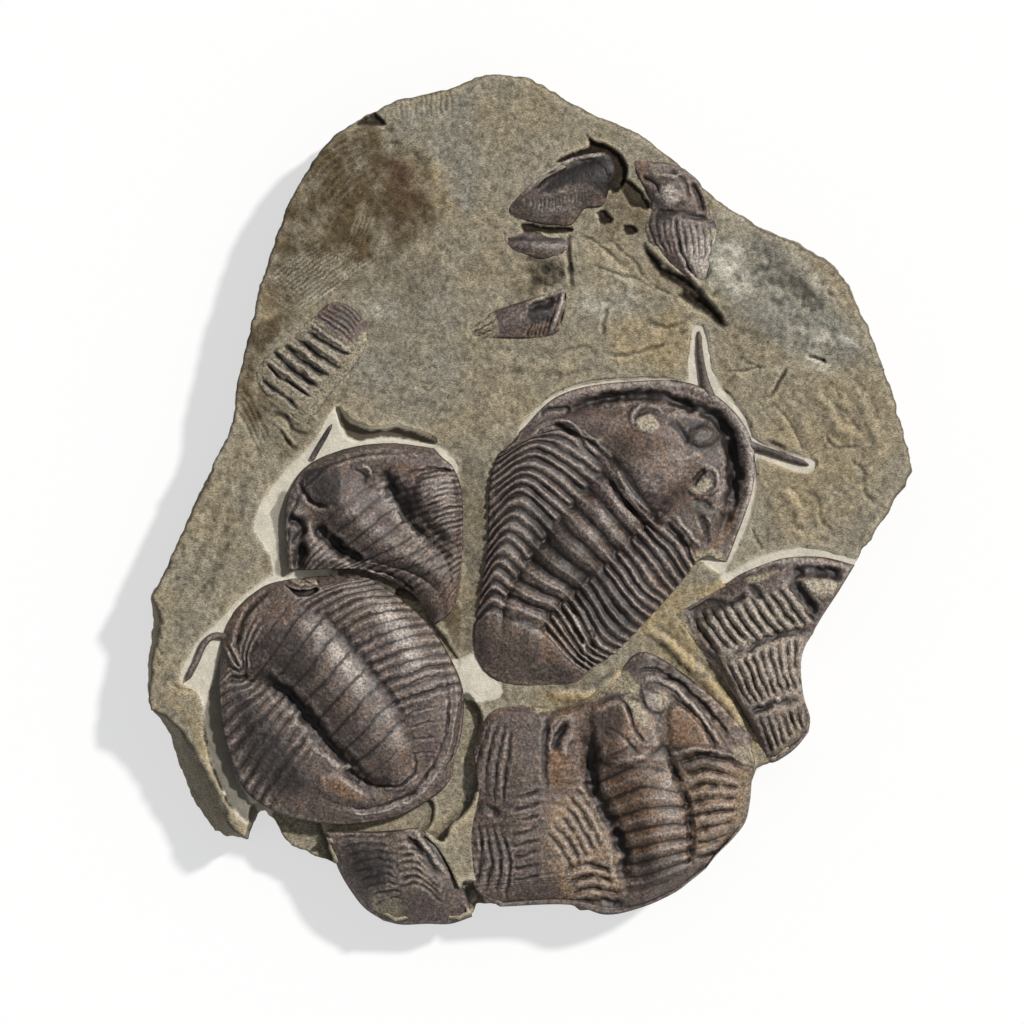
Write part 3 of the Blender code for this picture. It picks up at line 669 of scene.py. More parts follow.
def even_rows(net, spacing):
    """Fractional row numbers that lie about a spacing apart on a net."""
    gaps = np.linalg.norm(np.diff(net[..., :2], axis=0), axis=2)
    run = np.concatenate([[0], np.cumsum((gaps.mean(axis=1) + gaps.max(axis=1)) / 2)])
    return np.interp(np.linspace(0, run[-1], int(run[-1] / spacing) + 1), run, np.arange(len(net)))


def furrow_depth(phase, peaked):
    """Depth of furrows that come once to each unit of phase, from 0 on their crests to 1 at their bottoms."""
    return 1 - (2 * np.abs((phase + 0.5) % 1 - 0.5)) ** peaked


def segment_relief(fossil, row, column, plan):
    """Relief of the segments, and how strongly painted shade darkens the lines between them. The middle lobe
    has one deep furrow to a ring, and a shallow one along its back where the fossil has twin ridges, and a
    rib has two."""
    start, end, count = fossil.segments
    side = column - MIDDLE_COLUMN
    bend = np.where(side < 0, fossil.bend[0], fossil.bend[1]) * np.clip((np.abs(side) - 1) / 2, 0, 1) ** 2
    phase = (row - start) / (end - start) * count - bend
    (broad, broad_shift), (fine, fine_shift) = PHASE_SHIFTS
    phase += rough(plan, broad, 2, fossil.seed) * broad_shift
    phase += rough(plan, fine, 2, fossil.seed + 3) * fine_shift
    fade = eased(phase, *SEGMENT_FADE) * eased(count - phase, *SEGMENT_FADE)
    wear_size, wear_share = SEGMENT_WEAR
    wear = 1 + wear_share * rough(plan, wear_size, 2, fossil.seed + 5)
    middle = eased(LOBE_EDGE - np.abs(side), 0, LOBE_SOFTNESS)
    ribbed = eased(np.where(side < 0, *fossil.rib_ends) - phase, 0, RIB_FADE) * (1 - middle)
    rings = furrow_depth(phase, fossil.peaked[0]) + fossil.twin * furrow_depth(2 * phase, fossil.peaked[1])
    rings *= fossil.ring / (1 + fossil.twin)
    ribs = fossil.rib * furrow_depth(2 * phase + fossil.offset, fossil.peaked[1])
    ribs *= 1 + RIB_SWING * np.cos(2 * math.pi * phase)
    furrow_shade = middle * fossil.furrow_shade_strength[0] * eased(furrow_depth(phase, 1.0), FURROW_SHADE_DEPTHS[0], 1.0)
    rib_furrows = furrow_depth(2 * phase + fossil.offset, 1.0)
    furrow_shade += ribbed * fossil.furrow_shade_strength[1] * eased(rib_furrows, FURROW_SHADE_DEPTHS[1], 1.0)
    return -fade * wear * (middle * rings + ribbed * ribs), fade * furrow_shade


def spine_shell(ridge, foot):
    """Points and faces of a tapering spine with a rounded back."""
    ridge = np.array(ridge, float)
    ridge = spline(ridge, np.linspace(0, len(ridge) - 1, SPINE_SAMPLES * len(ridge)))
    ahead = np.gradient(ridge[:, :2], axis=0)
    side = np.stack([-ahead[:, 1], ahead[:, 0]], axis=1) / np.linalg.norm(ahead, axis=1, keepdims=True)
    turn = np.linspace(0, math.pi, BACK_POINTS)
    across = np.concatenate([[1.0], np.cos(turn), [-1.0]])
    rise = np.concatenate([[0.0], SPINE_SIDES + (1 - SPINE_SIDES) * np.sin(turn) ** 0.8, [0.0]])
    half = ridge[:, 2] * np.clip(np.linspace(len(ridge) / 6, 0, len(ridge)) + 0.25, 0, 1)
    plan = ridge[:, None, :2] + side[:, None] * (half[:, None] * across)[..., None]
    height = foot + (ridge[:, 3] - foot)[:, None] * rise
    height = height + grain(plan.reshape(-1, 2), SPINE_GRAIN).reshape(height.shape)
    height[:, [0, -1]] = foot
    count = len(across)
    rings = np.arange(plan.shape[0] * count).reshape(-1, count)
    faces = np.concatenate([walls_between(low, high) for low, high in zip(rings[:-1], rings[1:])])
    points = np.concatenate([metres(plan.reshape(-1, 2)), height.reshape(-1, 1) * MM], axis=1)
    return points, [*faces.tolist(), rings[0].tolist(), rings[-1][::-1].tolist()], plan.reshape(-1, 2)


def laid_net(fossil, spacing):
    """The fossil's net as a fine grid: its points, and the net's row and column number at each."""
    net = np.array(fossil.net, float)
    if signed_area(metres(np.concatenate([net[0, :, :2], net[-1, ::-1, :2]]))) < 0:
        net = net[:, ::-1]
    row_at, column_at = even_rows(net, spacing), even_rows(net.swapaxes(0, 1), spacing)
    grid = spline(spline(net, row_at).swapaxes(0, 1), column_at).swapaxes(0, 1)
    row, column = np.meshgrid(row_at, column_at, indexing="ij")
    return grid, row, column


def border_ring(grid, inset):
    """Plan points of the rectangle of grid lines that lies inset lines inside a fossil's border."""
    rows, columns = grid.shape[:2]
    inset = min(inset, rows // 3, columns // 3)
    inner = grid[inset : rows - inset, inset : columns - inset, :2]
    return inner.reshape(-1, 2)[ring_of(*inner.shape[:2])]


def make_fossil(fossil, spacing, finish):
    """Makes one fossil. Its upper face is a grid over its net, and below that come a lip as thick as the
    shell, a skirt and a base that lies inside it in the pocket."""
    grid, row, column = laid_net(fossil, spacing)
    rows, columns = grid.shape[:2]
    plan = grid[..., :2].reshape(-1, 2)
    row, column = row.ravel(), column.ravel()
    level, share = fossil.flatten
    height = level + share * (grid[..., 2].ravel() - level)
    along = row / row.max()
    for edge in FURROW_COLUMNS:
        width = FURROW_WIDTH + FURROW_WIDENING * (1 - along)
        ends = eased(along, *FURROW_STARTS) * eased(1 - along, *FURROW_ENDS)
        height -= fossil.furrow * np.exp(-(((column - edge) / width) ** 2)) * ends
    furrows, furrow_shade = segment_relief(fossil, row, column, plan)
    height += furrows
    apply_marks(plan, height, fossil.marks)
    height += grain(plan, SHELL_GRAIN, fossil.seed)
    inner_row, inner_column = (np.minimum(np.arange(n), np.arange(n)[::-1]) for n in (rows, columns))
    inside = np.minimum(inner_row[:, None], inner_column).ravel()
    lowest = fossil.low - LOW_SLOPE * np.maximum(inside - BASE_LINES, 0)
    height = np.maximum(height, lowest + 0.1 * rough(plan, 3, 2, fossil.seed + 19))
    edge = np.ones((rows, columns))
    for lines, value in enumerate(EDGE_SHARES):
        edge[lines : rows - lines, lines : columns - lines] = value
        edge[lines + 1 : rows - lines - 1, lines + 1 : columns - lines - 1] = 1.0
    height -= (1 - edge.ravel()) * EDGE_DROP * min(share + 0.1, 1)
    shape = height.reshape(rows, columns)
    # Painted shade: darker in the furrows between segments and in hollows, paler on crests.
    relief_shading = furrow_shade.reshape(rows, columns)
    for reach, depth, strength in HOLLOW_SIZES:
        relief_shading = relief_shading + strength * np.clip((blurred(shape, reach) - shape) / depth, -1, 1)
    top = np.concatenate([metres(plan), height[:, None] * MM], axis=1)
    index = np.arange(rows * columns).reshape(rows, columns)
    faces = np.stack([index[:-1, :-1], index[:-1, 1:], index[1:, 1:], index[1:, :-1]], axis=-1).reshape(-1, 4)
    ring = ring_of(rows, columns)
    count = len(ring)
    lip, skirt = top[ring].copy(), top[ring].copy()
    skirt[:, 2] = fossil.foot * MM
    lip[:, 2] -= np.minimum(SHELL_THICKNESS * MM, LIP_SHARE * (lip[:, 2] - skirt[:, 2]))
    inner = []
    for at, lines in ((ring // columns, rows), (ring % columns, columns)):
        shrunk = np.rint(BASE_LINES + at * (lines - 1 - 2 * BASE_LINES) / (lines - 1))
        inner.append(np.clip(shrunk, 0, lines - 1).astype(int))
    base = top[inner[0] * columns + inner[1]].copy()
    base[:, 2] = FOSSIL_BASE * MM
    lip_index = np.arange(len(top), len(top) + count)
    skirt_index, base_index = lip_index + count, lip_index + 2 * count
    faces = faces.tolist()
    for upper, lower in ((ring, lip_index), (lip_index, skirt_index), (skirt_index, base_index)):
        faces += walls_between(upper, lower).tolist()
    under = [base_index[::-1].tolist()]
    points = np.concatenate([top, lip, skirt, base])
    flat = np.concatenate([plan, plan[ring], plan[ring], (base[:, :2] / (STEP, -STEP)) + CENTRE])
    spread = np.zeros_like(flat)
    for index, reach in zip((lip_index, skirt_index, base_index), BAKE_RINGS):
        spread[index] = outward(plan[ring]) * reach + (plan[ring] - flat[index])
    # The walls and spines get a fixed share of painted shade.
    shade = np.concatenate([relief_shading.ravel(), np.full(3 * count, WALL_SHADE)])
    for ridge in fossil.spines:
        spine_points, spine_faces, spine_plan = spine_shell(ridge, SPINE_FOOT)
        first = len(points)
        faces += [[corner + first for corner in face] for face in spine_faces]
        points = np.concatenate([points, spine_points])
        flat = np.concatenate([flat, spine_plan])
        spread = np.concatenate([spread, np.zeros_like(spine_plan)])
        shade = np.concatenate([shade, np.full(len(spine_points), SPINE_SHADE)])
    masks = {tint: masked(flat, fossil.tints.get(tint, [])) for tint in SHELL_TINTS}
    masks["relief_shading"] = shade
    masks["side"] = np.zeros(len(points))
    masks["side"][lip_index[0] : base_index[-1] + 1] = 1
    above, below = bake_places(flat, spread)
    return add_piece(
        fossil.name, points, faces, above, under, below, masks, finish, fossil.node
    )


# ---- Marks and tints ------------------------------------------------------------------------------------

# Cleared channels and low benches of the rock: floor height in mm, 1 for pale fresh rock or 0, and outline.
# They may run on under the fossils, where the pockets take over.
CHANNELS = [
    (CHANNEL_FLOOR, 1, [522, 428, 532, 416, 553, 397, 580, 386, 606, 381.5, 636, 380, 666, 380, 688, 382,
        690, 366, 692, 348, 695, 329, 700, 326, 705, 329, 708, 348, 713, 371, 721, 389, 734, 402, 746, 419,
        756, 439, 783, 452, 808, 459, 816, 463, 809, 471, 797, 470, 776, 462, 757, 457, 756, 480, 752, 506,
        747, 525, 740, 542, 729, 562, 722, 572, 700, 556, 640, 500, 560, 440, 524, 434]),
    (CHANNEL_FLOOR, 1, [722, 574, 732, 573, 747, 564, 762, 557, 778, 552, 793, 549, 808, 548, 824, 551,
        839, 555, 857, 559, 875, 563, 870, 600, 780, 600, 735, 590]),
    (CHANNEL_FLOOR, 1, [280, 577, 274, 574, 275, 567, 270, 552, 261, 538, 256, 525, 264, 502, 276, 485,
        291, 467, 308, 450, 322, 432, 336, 408, 340, 424, 349, 438, 372, 440, 397, 438, 413, 441, 431, 444,
        448, 454, 455, 475, 400, 540, 320, 572]),
    (CHANNEL_FLOOR, 1, [330, 574, 277, 576, 261, 584, 248, 594, 235, 606, 224, 618, 214, 627, 208, 633,
        202, 639, 195, 649, 189, 660, 184, 669, 182, 680, 190, 686, 197, 690, 203, 699, 206, 712, 208, 731,
        212, 757, 220, 778, 226, 794, 233, 805, 240, 817, 250, 824, 256, 830, 262, 830, 275, 800, 300, 700,
        330, 620]),
    (CHANNEL_FLOOR, 1, [452, 662, 464, 660, 476, 655, 485, 672, 499, 685, 499, 697, 479, 700, 463, 697,
        452, 684]),
    (24.6, 0, [398, 590, 418, 600, 431, 622, 446, 642, 458, 662, 452, 668, 440, 660, 400, 620]),
    (21.2, 1, [337, 407, 346, 418, 356, 424, 371, 429, 385, 429, 397, 427, 413, 431, 432, 438, 434, 443,
        415, 441, 397, 438, 385, 437, 369, 439, 352, 439, 343, 430]),
    (21.5, 0, [458, 702, 474, 704, 480, 720, 476, 745, 478, 775, 472, 800, 462, 815, 450, 824, 442, 840,
        428, 832, 408, 826, 420, 800]),
    (19.5, 0, [316, 815, 372, 812, 425, 800, 432, 815, 424, 831, 405, 833, 320, 836]),
    (17.5, 0, [250, 812, 262, 803, 285, 804, 312, 815, 322, 832, 332, 866, 337, 885, 300, 885, 255, 850]),
]  # fmt: skip

# Marks are (kind, width in steps, rise in mm, points), with the points as x, y, x, y. Tints are marks whose
# rise is a strength from 0 to 1. Outlines that have names are both worked into a surface and coloured.
HEAD_CLEFT = [
    586, 131, 594, 139, 612, 146, 624, 157, 629, 169, 625, 184, 614, 194, 606, 180, 600, 160, 584, 156,
    560, 164, 556, 160, 574, 151, 588, 145,
]  # fmt: skip
RIM_CRACK = [522, 222, 551, 226, 571, 227, 572, 233, 555, 235, 537, 233, 522, 232]
FRAGMENT_CRACK = [570, 232, 569, 250, 571, 272, 572, 292]
LEDGE_GAP = [
    642, 242, 656, 252, 666, 266, 688, 274, 704, 292, 714, 304, 730, 324, 720, 328, 706, 318, 690, 308,
    676, 296, 680, 290, 668, 284, 654, 272, 644, 256,
]  # fmt: skip
SPINE_WALL = [716, 387, 729, 397, 744, 418, 754, 437]
TAN_RIDGE = [640, 622, 668, 642, 698, 670, 728, 706, 750, 740]
# A narrow step under a fold of the upper left fossil's shell, painted dark as the fold's shadow.
LEFT_STEP = [340, 564, 380, 574, 408, 588, 420, 600, 404, 600, 370, 588, 340, 578]
HOLES = [
    [623, 178, 632, 182, 641, 189, 646, 197, 651, 204, 648, 210, 632, 207, 627, 200, 619, 189],
    [594, 212, 605, 210, 614, 218, 612, 224, 600, 223, 596, 215],
    [623, 225, 634, 225, 639, 232, 632, 236, 625, 234],
]  # fmt: skip
WRINKLES = [
    [256, 381, 273, 391, 289, 403, 299, 413, 314, 430],
    [271, 411, 287, 419, 294, 430, 310, 435],
    [278, 429, 286, 438, 299, 454],
]  # fmt: skip
LONG_SCRATCHES = fan([265, 280, 298, 256, 326, 240], [298, 314, 334, 288, 378, 254], 13)
SHORT_SCRATCHES = fan([345, 246, 358, 214], [362, 246, 376, 214], 5)

FACE_MARKS = [
    # The top right: a raised grey layer that ends at a ledge, its swells, and cracks.
    ("mound", 26, 1.3, [690, 232, 720, 215, 760, 222, 812, 250, 848, 300, 872, 352, 840, 362, 790, 352,
        750, 340, 724, 322, 700, 290]),
    ("ledge", 42, 1.5, [722, 322, 709, 305, 698, 292, 686, 280, 672, 271, 659, 262, 641, 242]),
    ("mound", 14, 0.9, [708, 250, 728, 236, 748, 246, 744, 274, 724, 284, 708, 272]),
    ("ridge", 22, -1.2, [752, 252, 768, 282, 800, 306, 826, 318]),
    ("ridge", 15, 0.9, [776, 330, 806, 336, 838, 340, 862, 338]),
    ("ridge", 18, 0.8, [786, 258, 812, 282, 838, 300]),
    ("ridge", 16, -0.7, [752, 236, 768, 262, 790, 288, 816, 312]),
    ("ridge", 16, 0.7, [784, 236, 804, 264, 828, 292, 846, 318]),
    ("ridge", 6, -0.8, [706, 300, 716, 314, 728, 330]),
    *[("mound", 2, rise, hole) for rise, hole in zip((-2.0, -1.7, -1.5), HOLES)],
    ("mound", 3, -2.6, HEAD_CLEFT),
    # The face falls away under the lower edges of the fossils.
    ("mound", 6, -3.0, [466, 884, 540, 872, 640, 876, 694, 846, 728, 806, 756, 812, 716, 872, 650, 920,
        570, 924, 500, 914, 466, 912]),
    ("mound", 5, -4.0, [322, 842, 348, 846, 366, 884, 396, 904, 444, 904, 462, 880, 482, 886, 480, 926,
        396, 936, 352, 912, 330, 880]),
    ("mound", 2, -1.8, RIM_CRACK),
    *[("mound", 3, rise, disc(x, y, radius)) for x, y, radius, rise in ((533, 266, 5, 0.8),
        (545, 270, 6, -0.8), (556, 264, 5, 0.7), (562, 274, 5, -0.7), (537, 281, 6, -0.6), (549, 281, 5, 0.8),
        (533, 291, 4, 0.6), (545, 291, 4, -0.6))],
    ("ridge", 4, -1.0, FRAGMENT_CRACK),
    ("crease", 4, -0.7, [607, 307, 604, 328, 603, 348]),
    ("crease", 4, -0.8, [604, 351, 618, 355, 640, 351, 668, 343]),
    ("mound", 7, -1.7, LEDGE_GAP),
    *[("mound", 3, rise, disc(x, y, radius)) for x, y, radius, rise in ((662, 268, 4, 0.8),
        (678, 280, 5, -0.9), (688, 292, 4, 0.8), (698, 300, 5, -0.8), (712, 314, 4, 0.7))],
    ("crease", 3, 0.9, [668, 274, 682, 284, 694, 292, 706, 304]),
    ("crease", 2.6, -0.8, [578, 232, 600, 244, 622, 264]),
    ("crease", 2.6, -0.7, [588, 262, 612, 272, 640, 280, 660, 296]),
    ("crease", 2.4, -0.6, [636, 262, 650, 282, 680, 300]),
    ("crease", 2.4, -0.6, [606, 236, 622, 250, 648, 274]),
    ("ridge", 12, 0.7, [580, 250, 606, 262, 640, 292]),
    ("ridge", 10, -0.5, [584, 300, 616, 300, 650, 316]),
    ("crease", 3.0, -1.3, [808, 355, 818, 359, 828, 363]),
    ("crease", 3.4, -1.0, [789, 367, 778, 382, 769, 400]),
    ("crease", 2.4, -0.8, [722, 370, 740, 371, 757, 367, 766, 367]),
    ("crease", 2.4, -0.7, [744, 362, 757, 366, 760, 375]),
    ("crease", 2.4, -0.7, [752, 528, 757, 540, 765, 549]),
    ("crease", 2.2, 0.5, [728, 542, 742, 540]),
    ("ridge", 9, 2.2, TAN_RIDGE),
    ("ridge", 9, 1.8, [548, 692, 580, 694, 604, 688, 626, 670]),
    ("crease", 2.6, -0.8, [826, 430, 833, 446, 852, 447, 862, 446]),
    ("crease", 2.6, -0.6, [771, 400, 790, 422, 802, 446, 806, 462]),
    ("ridge", 10, 0.7, [806, 386, 824, 400, 836, 424, 858, 440]),
    ("ridge", 9, 0.7, [840, 380, 862, 398, 874, 428, 890, 446]),
    ("crease", 5, -0.6, [822, 384, 832, 402, 850, 416, 862, 436]),
    ("crease", 4, -0.6, [846, 456, 862, 470, 866, 492, 880, 506]),
    ("crease", 4, -0.5, [800, 486, 818, 500, 822, 520, 838, 534]),
    ("ridge", 9, 0.6, [780, 484, 796, 506, 806, 530]),
    ("crease", 5, -0.6, [640, 318, 664, 326, 690, 322]),
    ("crease", 5, -0.5, [560, 352, 584, 346, 600, 356]),
    ("ridge", 10, 0.6, [480, 352, 520, 360, 560, 366, 590, 362]),
    ("mound", 14, -0.7, [776, 372, 800, 376, 806, 420, 822, 470, 800, 452, 780, 420, 770, 396]),
    # The wall of rock that shades the outer side of the spines.
    ("crease", 5, -1.5, SPINE_WALL),
    ("crease", 4, -1.2, [762, 439, 782, 447, 806, 456]),
    # The top left: a chipped corner, scratches and fine bedding lines.
    ("mound", 2, -1.6, [355, 124, 372, 112, 378, 114, 386, 125, 370, 125]),
    ("crease", 2, 0.5, [350, 122, 366, 124, 388, 129]),
    *creases(1.8, 0.4, LONG_SCRATCHES),
    *creases(1.8, 0.4, SHORT_SCRATCHES),
    *creases(1.8, 0.3, fan([262, 290, 276, 300, 296, 312], [274, 268, 290, 280, 304, 290], 7)),
    *creases(2.0, -0.3, fan([396, 94, 396, 120], [450, 86, 452, 118], 12)),
    *creases(2.0, 0.35, fan([300, 176, 322, 150, 352, 134], [326, 214, 352, 188, 384, 168], 8)),
    ("ridge", 12, -0.8, [383, 116, 396, 148, 420, 162, 428, 190]),
    ("mound", 16, 0.7, [400, 110, 446, 96, 452, 150, 440, 200, 424, 166, 406, 150]),
    ("crease", 2, -0.5, [421, 372, 432, 366, 438, 370]),
    ("crease", 2, -0.5, [420, 386, 428, 391, 436, 384]),
    # Wrinkled rock below the rib fragment.
    ("crease", 3.6, -1.3, WRINKLES[0]),
    ("crease", 3.0, 0.8, [256, 374, 276, 386, 300, 404, 322, 424]),
    *creases(3.6, -1.1, WRINKLES[1:]),
    ("crease", 3.0, 0.7, [262, 378, 280, 389, 300, 407, 318, 420]),
    ("crease", 3.0, 0.7, [266, 396, 286, 412, 306, 426]),
    ("crease", 3.0, 0.7, [268, 416, 284, 430, 298, 446]),
    *creases(3.0, -0.6, fan([240, 384, 252, 402, 270, 440], [236, 404, 250, 430, 262, 460], 4)),
    # The left side: a long soft ridge down to the foot, and the crumbly rim.
    ("ridge", 14, 0.9, [232, 430, 216, 480, 196, 530, 176, 590]),
    ("ridge", 12, -0.9, [248, 470, 232, 520, 212, 570, 196, 610]),
    *creases(3, -0.5, fan([158, 612, 164, 626], [156, 660, 163, 672], 4)),
    ("crease", 2.6, -0.9, [172, 682, 181, 688, 196, 690]),
    ("crease", 3.4, -1.2, [205, 712, 207, 740, 216, 772, 228, 800, 246, 826]),
]  # fmt: skip

FACE_TINTS = {
    "stain_and_shade": [
        ("mound", 14, 1.0, [311, 150, 340, 126, 372, 112, 384, 118, 398, 148, 420, 162, 428, 186, 448, 214,
            436, 236, 416, 250, 394, 262, 350, 270, 300, 262, 270, 258, 262, 240, 288, 190]),
        ("mound", 14, 0.6, [262, 262, 300, 250, 360, 262, 370, 290, 320, 300, 280, 326, 252, 330]),
        ("mound", 30, 0.35, [340, 256, 440, 240, 446, 310, 400, 330, 372, 300]),
        ("mound", 8, 0.9, [240, 330, 262, 318, 290, 306, 300, 320, 276, 345, 256, 380, 262, 420, 250, 430,
            238, 410, 236, 378]),
        # Painted shade: the sloping lower left wall, which faces away from the light.
        ("ridge", 30, 0.75, [150, 716, 176, 758, 196, 800, 216, 834]),
        ("mound", 8, 0.6, [262, 380, 290, 396, 318, 424, 300, 452, 284, 462, 262, 436, 250, 410]),
        ("mound", 4, 0.9, [440, 612, 462, 606, 460, 652, 450, 640]),
        ("mound", 3, 0.9, LEFT_STEP),
        ("mound", 7, 0.7, [612, 178, 626, 170, 652, 204, 642, 240, 620, 238, 596, 224]),
    ],
    "rust": [
        ("ridge", 26, 0.8, [396, 154, 408, 184, 416, 210]),
        ("ridge", 20, 0.5, [396, 215, 405, 238]),
        ("mound", 3, 0.8, [527, 245, 540, 252, 538, 260, 527, 262]),
    ],
    "tan": [
        ("mound", 25, 0.4, [755, 375, 870, 368, 905, 450, 840, 545, 770, 545, 762, 470]),
        ("ridge", 30, 1.0, TAN_RIDGE),
        ("ridge", 16, 0.8, [262, 285, 270, 305, 258, 330]),
        ("mound", 20, 0.6, [606, 312, 690, 308, 690, 372, 610, 370]),
        ("mound", 8, 0.6, [180, 676, 200, 690, 206, 720, 230, 790, 215, 790, 180, 720, 158, 700]),
        ("ridge", 24, 0.6, [425, 160, 442, 185, 446, 215]),
        ("mound", 6, 1.0, [640, 600, 680, 585, 715, 580, 724, 572, 745, 575, 735, 595, 690, 605, 720, 650,
            752, 700, 762, 745, 752, 752, 740, 705, 700, 662, 655, 640, 628, 622]),
        ("mound", 5, 1.0, [536, 690, 600, 688, 612, 668, 640, 668, 622, 700, 600, 700, 560, 708]),
    ],
    "grey": [
        ("mound", 26, 0.9, [700, 232, 760, 222, 812, 250, 848, 300, 872, 352, 840, 370, 780, 356, 744, 340,
            716, 310, 704, 280]),
        ("mound", 14, 0.7, [400, 108, 452, 90, 480, 84, 482, 210, 452, 210, 426, 160, 404, 146]),
        ("mound", 30, 0.5, [330, 330, 430, 250, 470, 300, 460, 420, 400, 420, 350, 400]),
    ],
    # Partly rubbed rock and scratches, and partly painted highlight on the swells and the ledge that face the
    # light.
    "light": [
        ("ridge", 22, 0.6, [571, 290, 600, 304, 642, 298]),
        ("ridge", 30, 0.55, [676, 250, 704, 262, 722, 290]),
        ("mound", 14, 0.6, [774, 340, 820, 342, 846, 356, 840, 382, 800, 372]),
        ("mound", 12, 0.95, [704, 254, 722, 238, 744, 244, 752, 270, 760, 298, 742, 306, 722, 296, 708, 276]),
        ("ridge", 16, 0.6, [776, 334, 806, 338, 838, 342, 864, 340]),
        ("ridge", 12, 0.45, [700, 226, 726, 216, 752, 226]),
        ("ridge", 14, 0.35, [596, 262, 622, 282, 650, 296]),
        ("mound", 5, 0.5, [372, 300, 396, 298, 400, 316, 380, 322, 366, 312]),
        *creases(1.8, 0.95, LONG_SCRATCHES),
        *creases(1.8, 0.9, SHORT_SCRATCHES),
    ],
    # Painted shade and shadow: hollows, clefts, the foot of the ledge, thin shadow lines along the channels'
    # rims and walls, and a darker patch on the left.
    "shade": [
        ("mound", 40, 0.12, [165, 560, 210, 470, 232, 420, 262, 470, 240, 560, 190, 640, 150, 640]),
        ("mound", 2, 0.8, [354, 125, 372, 111, 378, 113, 387, 126]),
        *[("mound", 2, strength, hole) for strength, hole in zip((0.8, 0.9, 0.9), HOLES)],
        ("mound", 2, 1.0, HEAD_CLEFT),
        ("mound", 2, 0.95, RIM_CRACK),
        ("mound", 5, 0.7, [529, 262, 545, 257, 560, 258, 568, 264, 567, 279, 556, 287, 543, 291, 529, 296]),
        ("ridge", 3.5, 0.7, FRAGMENT_CRACK),
        ("mound", 7, 0.8, LEDGE_GAP),
        ("mound", 10, 0.4, [640, 240, 670, 262, 704, 288, 732, 324, 716, 332, 690, 306, 650, 276]),
        ("crease", 2.6, 0.9, [808, 355, 818, 359, 828, 363]),
        ("crease", 3, 0.6, [789, 367, 778, 382, 769, 400]),
        ("ridge", 3.4, 0.8, SPINE_WALL),
        ("ridge", 2.6, 0.7, [762, 440, 782, 448, 806, 457]),
        ("ridge", 2.2, 0.8, [526, 415, 551, 394.5, 579, 383, 606, 378.5, 636, 377, 666, 377, 687, 379]),
        ("ridge", 2.2, 0.6, [688, 372, 690, 348, 693, 328]),
        *[("crease", 3.2, strength, line) for strength, line in zip((0.8, 0.7, 0.7), WRINKLES)],
        ("ridge", 3, 0.8, [204, 712, 207, 740, 216, 772, 228, 800, 246, 826]),
        # Painted shadow on the strip between the upper left fossil and the central one.
        ("mound", 5, 0.3, [460, 650, 461, 560, 459, 470, 470, 455, 487, 470, 488, 560, 478, 640]),
    ],
    # Painted shadow: the shadows that the fossils, a fold of shell and the deep channel wall cast on the cut
    # rock beside them.
    "gloom": [
        ("mound", 2, 0.9, LEFT_STEP),
        ("mound", 1.5, 1.0, [337, 407, 346, 418, 356, 424, 371, 429, 385, 429, 397, 427, 413, 431, 432, 438,
            434, 443, 415, 442, 397, 439, 385, 438, 369, 440, 352, 440, 343, 430]),
        ("mound", 1.5, 0.6, [276, 574, 276, 548, 272, 530, 270, 514, 276, 500, 284, 490, 296, 500, 292, 530,
            294, 572]),
        ("mound", 2, 0.75, [221, 648, 216, 664, 210, 686, 206, 702, 203, 712, 203, 731, 208, 757, 217, 780,
            230, 806, 250, 826, 262, 820, 240, 780, 226, 730, 224, 690]),
    ],
}  # fmt: skip

# The tints that a fossil may have. Pale is partly rubbed shell and partly painted highlight and sheen on
# crests that face the light; shade is painted shade in furrows, hollows and on slopes turned from the light,
# and on the spines their own dark colour.
SHELL_TINTS = ("iron", "rock", "pale", "shade")

